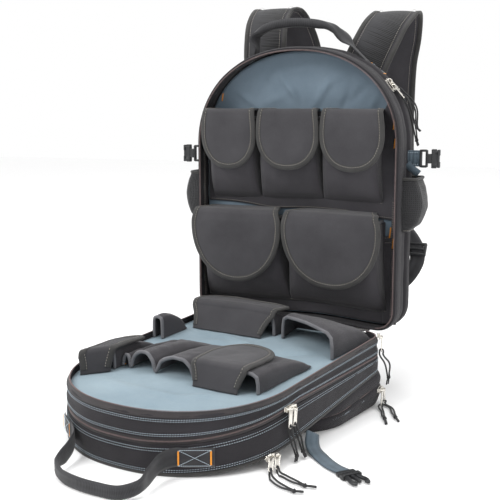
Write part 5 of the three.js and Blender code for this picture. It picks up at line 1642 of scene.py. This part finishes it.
def slider_body():
    """Two plates joined by a post, with a cast bridge over the top."""
    parts = []
    for z in (0.7, 4.1):
        plate = block(11.6, 8.8, 1.4, 0.6, 3)
        nose = [v for v in plate.verts if v.co.x > 3]
        bmesh.ops.scale(plate, vec=(1, 0.72, 1), verts=nose)
        bmesh.ops.translate(plate, vec=(0, 0, z), verts=plate.verts)
        parts.append(plate)
    post = block(3.4, 6.4, 3, 0.8, 3)
    bmesh.ops.translate(post, vec=(2.6, 0, 2.4), verts=post.verts)
    parts.append(post)
    bridge = sweep_mm([Vector((-4, -1, 4.4)), Vector((-3, -1.2, 7.2)), Vector((0, -1.5, 8.6)),
            Vector((3, -1.2, 7.2)), Vector((4, -1, 4.4))],
                      strip_section(2.6, 1.4), Vector((0, 0, 1)))
    parts.append(bridge)
    return parts


SEATS = {
    "main_slider": ((153.3, -49.4, 107.9), (0.981, 0.192, 0), (-0.192, 0.981, 0), ((0, 0.1),)),
    "middle_sliders": ((102.6, -310.7, 69.1), (0.972, -0.237, 0), (0.237, 0.972, 0),
        ((-5.8, -0.05), (5.8, -0.1))),
    "base_sliders": ((91.5, -342.7, 11.1), (0.56, -0.269, 0.783), (0.433, 0.901, 0),
        ((-5.8, -0.7), (5.8, -0.7))),
    "pocket_sliders": ((158.9, -55, 26.5), (1, 0.001, 0), (-0.001, 1, 0), ((-5.8, -0.12), (5.8, 0.25))),
    "rear_sliders": ((138.5, 56.2, 484.3), (0.79, 0, 0.614), (-0.614, 0, 0.79),
        ((-5.8, -1.25), (5.8, -0.85))),
}
for name, (at, outward, zip_way, tabs) in SEATS.items():
    outward, zip_way = Vector(outward).normalized(), Vector(zip_way).normalized()
    where = Matrix((zip_way, outward.cross(zip_way), outward)).transposed().to_4x4()
    where.translation = Vector(at)
    parts = []
    for shift, lean in tabs:
        flip = Matrix.Rotation(math.pi if shift < 0 else 0, 4, "Z")
        for bm in slider_body():
            parts.append(placed(bm, where @ Matrix.Translation((shift, 0, 0)) @ flip))
        tab = pull_tab()
        parts.append(placed(tab,
                where @ Matrix.Translation((shift, -1, 6.9)) @ Matrix.Rotation(lean, 4, "Z")))
    merged(f"{name}_metal", parts, METAL, [name])


# Pull cords: each a loop through its tab's hole, knotted where its two strands meet

CORD_BEND = [(8, 2.8), (3.6, 2.8), (0.5, 2)]
CORDS = [
    ("main_cord", (159.7, -46.1, 87), (0.981, 0.192, 0), [(168, -44, 66)], (169, -35, 41), (168, -39, 30),
        (3.5, 1, 0), 0.1),
    ("middle_cord_left", (107.7, -318.9, 48.1), (0.972, -0.237, 0), [(111, -318, 27)], (115, -313, 7),
        (117, -323, 3), (2, 1, 0), 0.09),
    ("middle_cord_right", (110.2, -308.6, 48.2), (0.972, -0.237, 0), [(114, -300, 27)], (118, -297, 8),
        (125, -306, 4), (2, 1, 0), 0.09),
    ("base_cord_left", (98.8, -367, 6.3), (0.56, -0.269, 0.783), [(112, -391, 3), (128, -403, 2.6)],
        (145, -413, 4), (157, -409, 3), (1.6, 3, 0), 0.14),
    ("base_cord_right", (103.8, -356.5, 6.3), (0.56, -0.269, 0.783), [(119, -373, 3), (136, -383, 2.6)],
        (152, -393, 4), (167, -390, 3), (1.6, 3, 0), 0.13),
    ("pocket_cord_left", (165.8, -63.2, 5.7), (1, 0, 0), [(173, -87, 2.6), (178, -104, 2.6)],
        (184, -119, 4), (191, -138, 2), (1.8, -0.6, 0), 0.12),
    ("pocket_cord_right", (165.8, -44.3, 6.2), (1, 0, 0), [(180, -64, 2.6), (189, -86, 2.6)],
        (197, -107, 4), (205, -120, 2), (2.6, -1, 0), 0.14),
    ("rear_cord_lower", (159.1, 63.5, 468.9), (0.79, 0, 0.614), [(168, 92, 438), (174, 90, 416)],
        (176, 96, 399), (177, 105, 390), (1.5, 1.5, 0), 0.17),
    ("rear_cord_upper", (149.6, 70.4, 481.2), (0.79, 0, 0.614), [(172, 98, 452)], (174, 104, 419),
        (181, 102, 413), (1.5, 1.5, 0), 0.165),
]


def knot_mesh(at, way):
    """An overhand knot: a cord wound once round itself."""
    side = way.orthogonal().normalized()
    other = way.cross(side)
    path = []
    for k in range(30):
        a = 2 * math.pi * k / 30
        r = 1.25 + 0.75 * math.cos(3 * a)
        path.append(at + side * (r * math.cos(2 * a)) + other * (r * math.sin(2 * a))
            + way * (1.35 * math.sin(3 * a)))
    return sweep_mesh(path, ring_section(1.3, 10), way + side * 0.01, closed=True)


def cord_curve(name, points):
    line = bpy.data.curves.new(name, "CURVE")
    line.dimensions = "3D"
    line.bevel_depth = CORD / 2000
    line.bevel_resolution = 4
    line.resolution_u = 8
    line.use_fill_caps = True
    spline = line.splines.new("BEZIER")
    spline.bezier_points.add(len(points) - 1)
    for spot, p in zip(spline.bezier_points, points):
        spot.co = row(p)
        spot.handle_left_type = spot.handle_right_type = "AUTO"
    line.materials.append(BRAID)
    obj = bpy.data.objects.new(name, line)
    bpy.context.collection.objects.link(obj)
    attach(obj, "root")
    return obj


for name, hole, normal, via, knot, tail, spread, length in CORDS:
    hole, normal, knot, tail, spread = (Vector(t) for t in (hole, normal, knot, tail, spread))
    via = [Vector(p) for p in via]
    fall = via[0] - hole
    down = (fall - normal * fall.dot(normal)).normalized()
    beside = spread.normalized() * 1.25
    into = (knot - via[-1]).normalized()

    def strand(side):
        bend = [hole + down * a + normal * (side * b) for a, b in reversed(CORD_BEND)]
        ways = [p + spread * side for p in via]
        return bend + ways + [knot - into * 5 + beside * (1.15 * side), knot + beside * side - into]

    points = [hole - down * 0.3] + strand(1) + [knot + into * 0.6] + strand(-1)[::-1] + [hole - down * 0.3]
    loop_cord = cord_curve(f"{name}_loop", points)
    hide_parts(name)
    tie = merged(f"{name}_knot", [knot_mesh(knot, into)], BRAID)
    ends = []
    for side in (-1, 1):
        tip = tail + beside * (0.9 * side) - (tail - knot) * (0.12 if side > 0 else 0)
        ends.append(sweep_mesh(bezier_like([knot + beside * (0.3 * side),
                        knot.lerp(tip, 0.5) + beside * (0.5 * side), tip], 10),
                               ring_section(1.05 if name == "main_cord" else 1.15, 10),
                               Vector((0.2, 0.1, 1))))
    tails = merged(f"{name}_tails", ends, BRAID)
    tuple(row(hole))


# All stitches and bartacks, laid as many small copies

array("blue_stitching", bead(2.6, 1.0, 0.8, True), blue_stitches, BLUE_THREAD)
array("beige_stitching", bead(2.5, 0.9, 0.7, True), beige_stitches, BEIGE_THREAD)
tacks = []
for spot, width, lean in bartacks:
    tacks.append(spot @ Matrix.Diagonal((width, 1, 1, 1)))
array("bartack_stitching", bead(1.0, 0.62, 0.6), tacks, ORANGE_THREAD)


# Floor and light

floor = bpy.data.materials.new("floor")
tree, shader = nodes_of(floor)
shader.inputs["Base Color"].default_value = (0.96, 0.96, 0.96, 1)
shader.inputs["Roughness"].default_value = 0.9
bm = bmesh.new()
bmesh.ops.create_grid(bm, x_segments=1, y_segments=1, size=6)
mesh = bpy.data.meshes.new("floor")
bm.to_mesh(mesh)
bm.free()
mesh.materials.append(floor)
ground = bpy.data.objects.new("floor", mesh)
bpy.context.collection.objects.link(ground)
ground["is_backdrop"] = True

world = bpy.data.worlds.new("studio")
bpy.context.scene.world = world
world.use_nodes = True
world.node_tree.nodes["Background"].inputs[0].default_value = (1, 1, 1, 1)
world.node_tree.nodes["Background"].inputs[1].default_value = 1.0


def lamp(name, at, aim, size, power):
    light = bpy.data.objects.new(name, bpy.data.lights.new(name, "AREA"))
    bpy.context.collection.objects.link(light)
    light.location = at
    light.rotation_mode = "QUATERNION"
    light.rotation_quaternion = (Vector(aim) - Vector(at)).to_track_quat("-Z", "Y")
    light.data.shape = "DISK"
    light.data.size = size
    light.data.energy = power
    light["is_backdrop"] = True


lamp("key", (-1.2, -1.6, 2.2), (0, 0, 0.25), 1.4, 44)
lamp("fill", (1.9, -1.2, 1.2), (0, 0, 0.25), 1.6, 7)
lamp("top", (0.2, 0.4, 2.6), (0, 0, 0.2), 1.8, 26)

bpy.context.scene.view_settings.view_transform = "Standard"

[[list(map(float, corner)) for corner in box] for box in (bounds_at_start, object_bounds())]
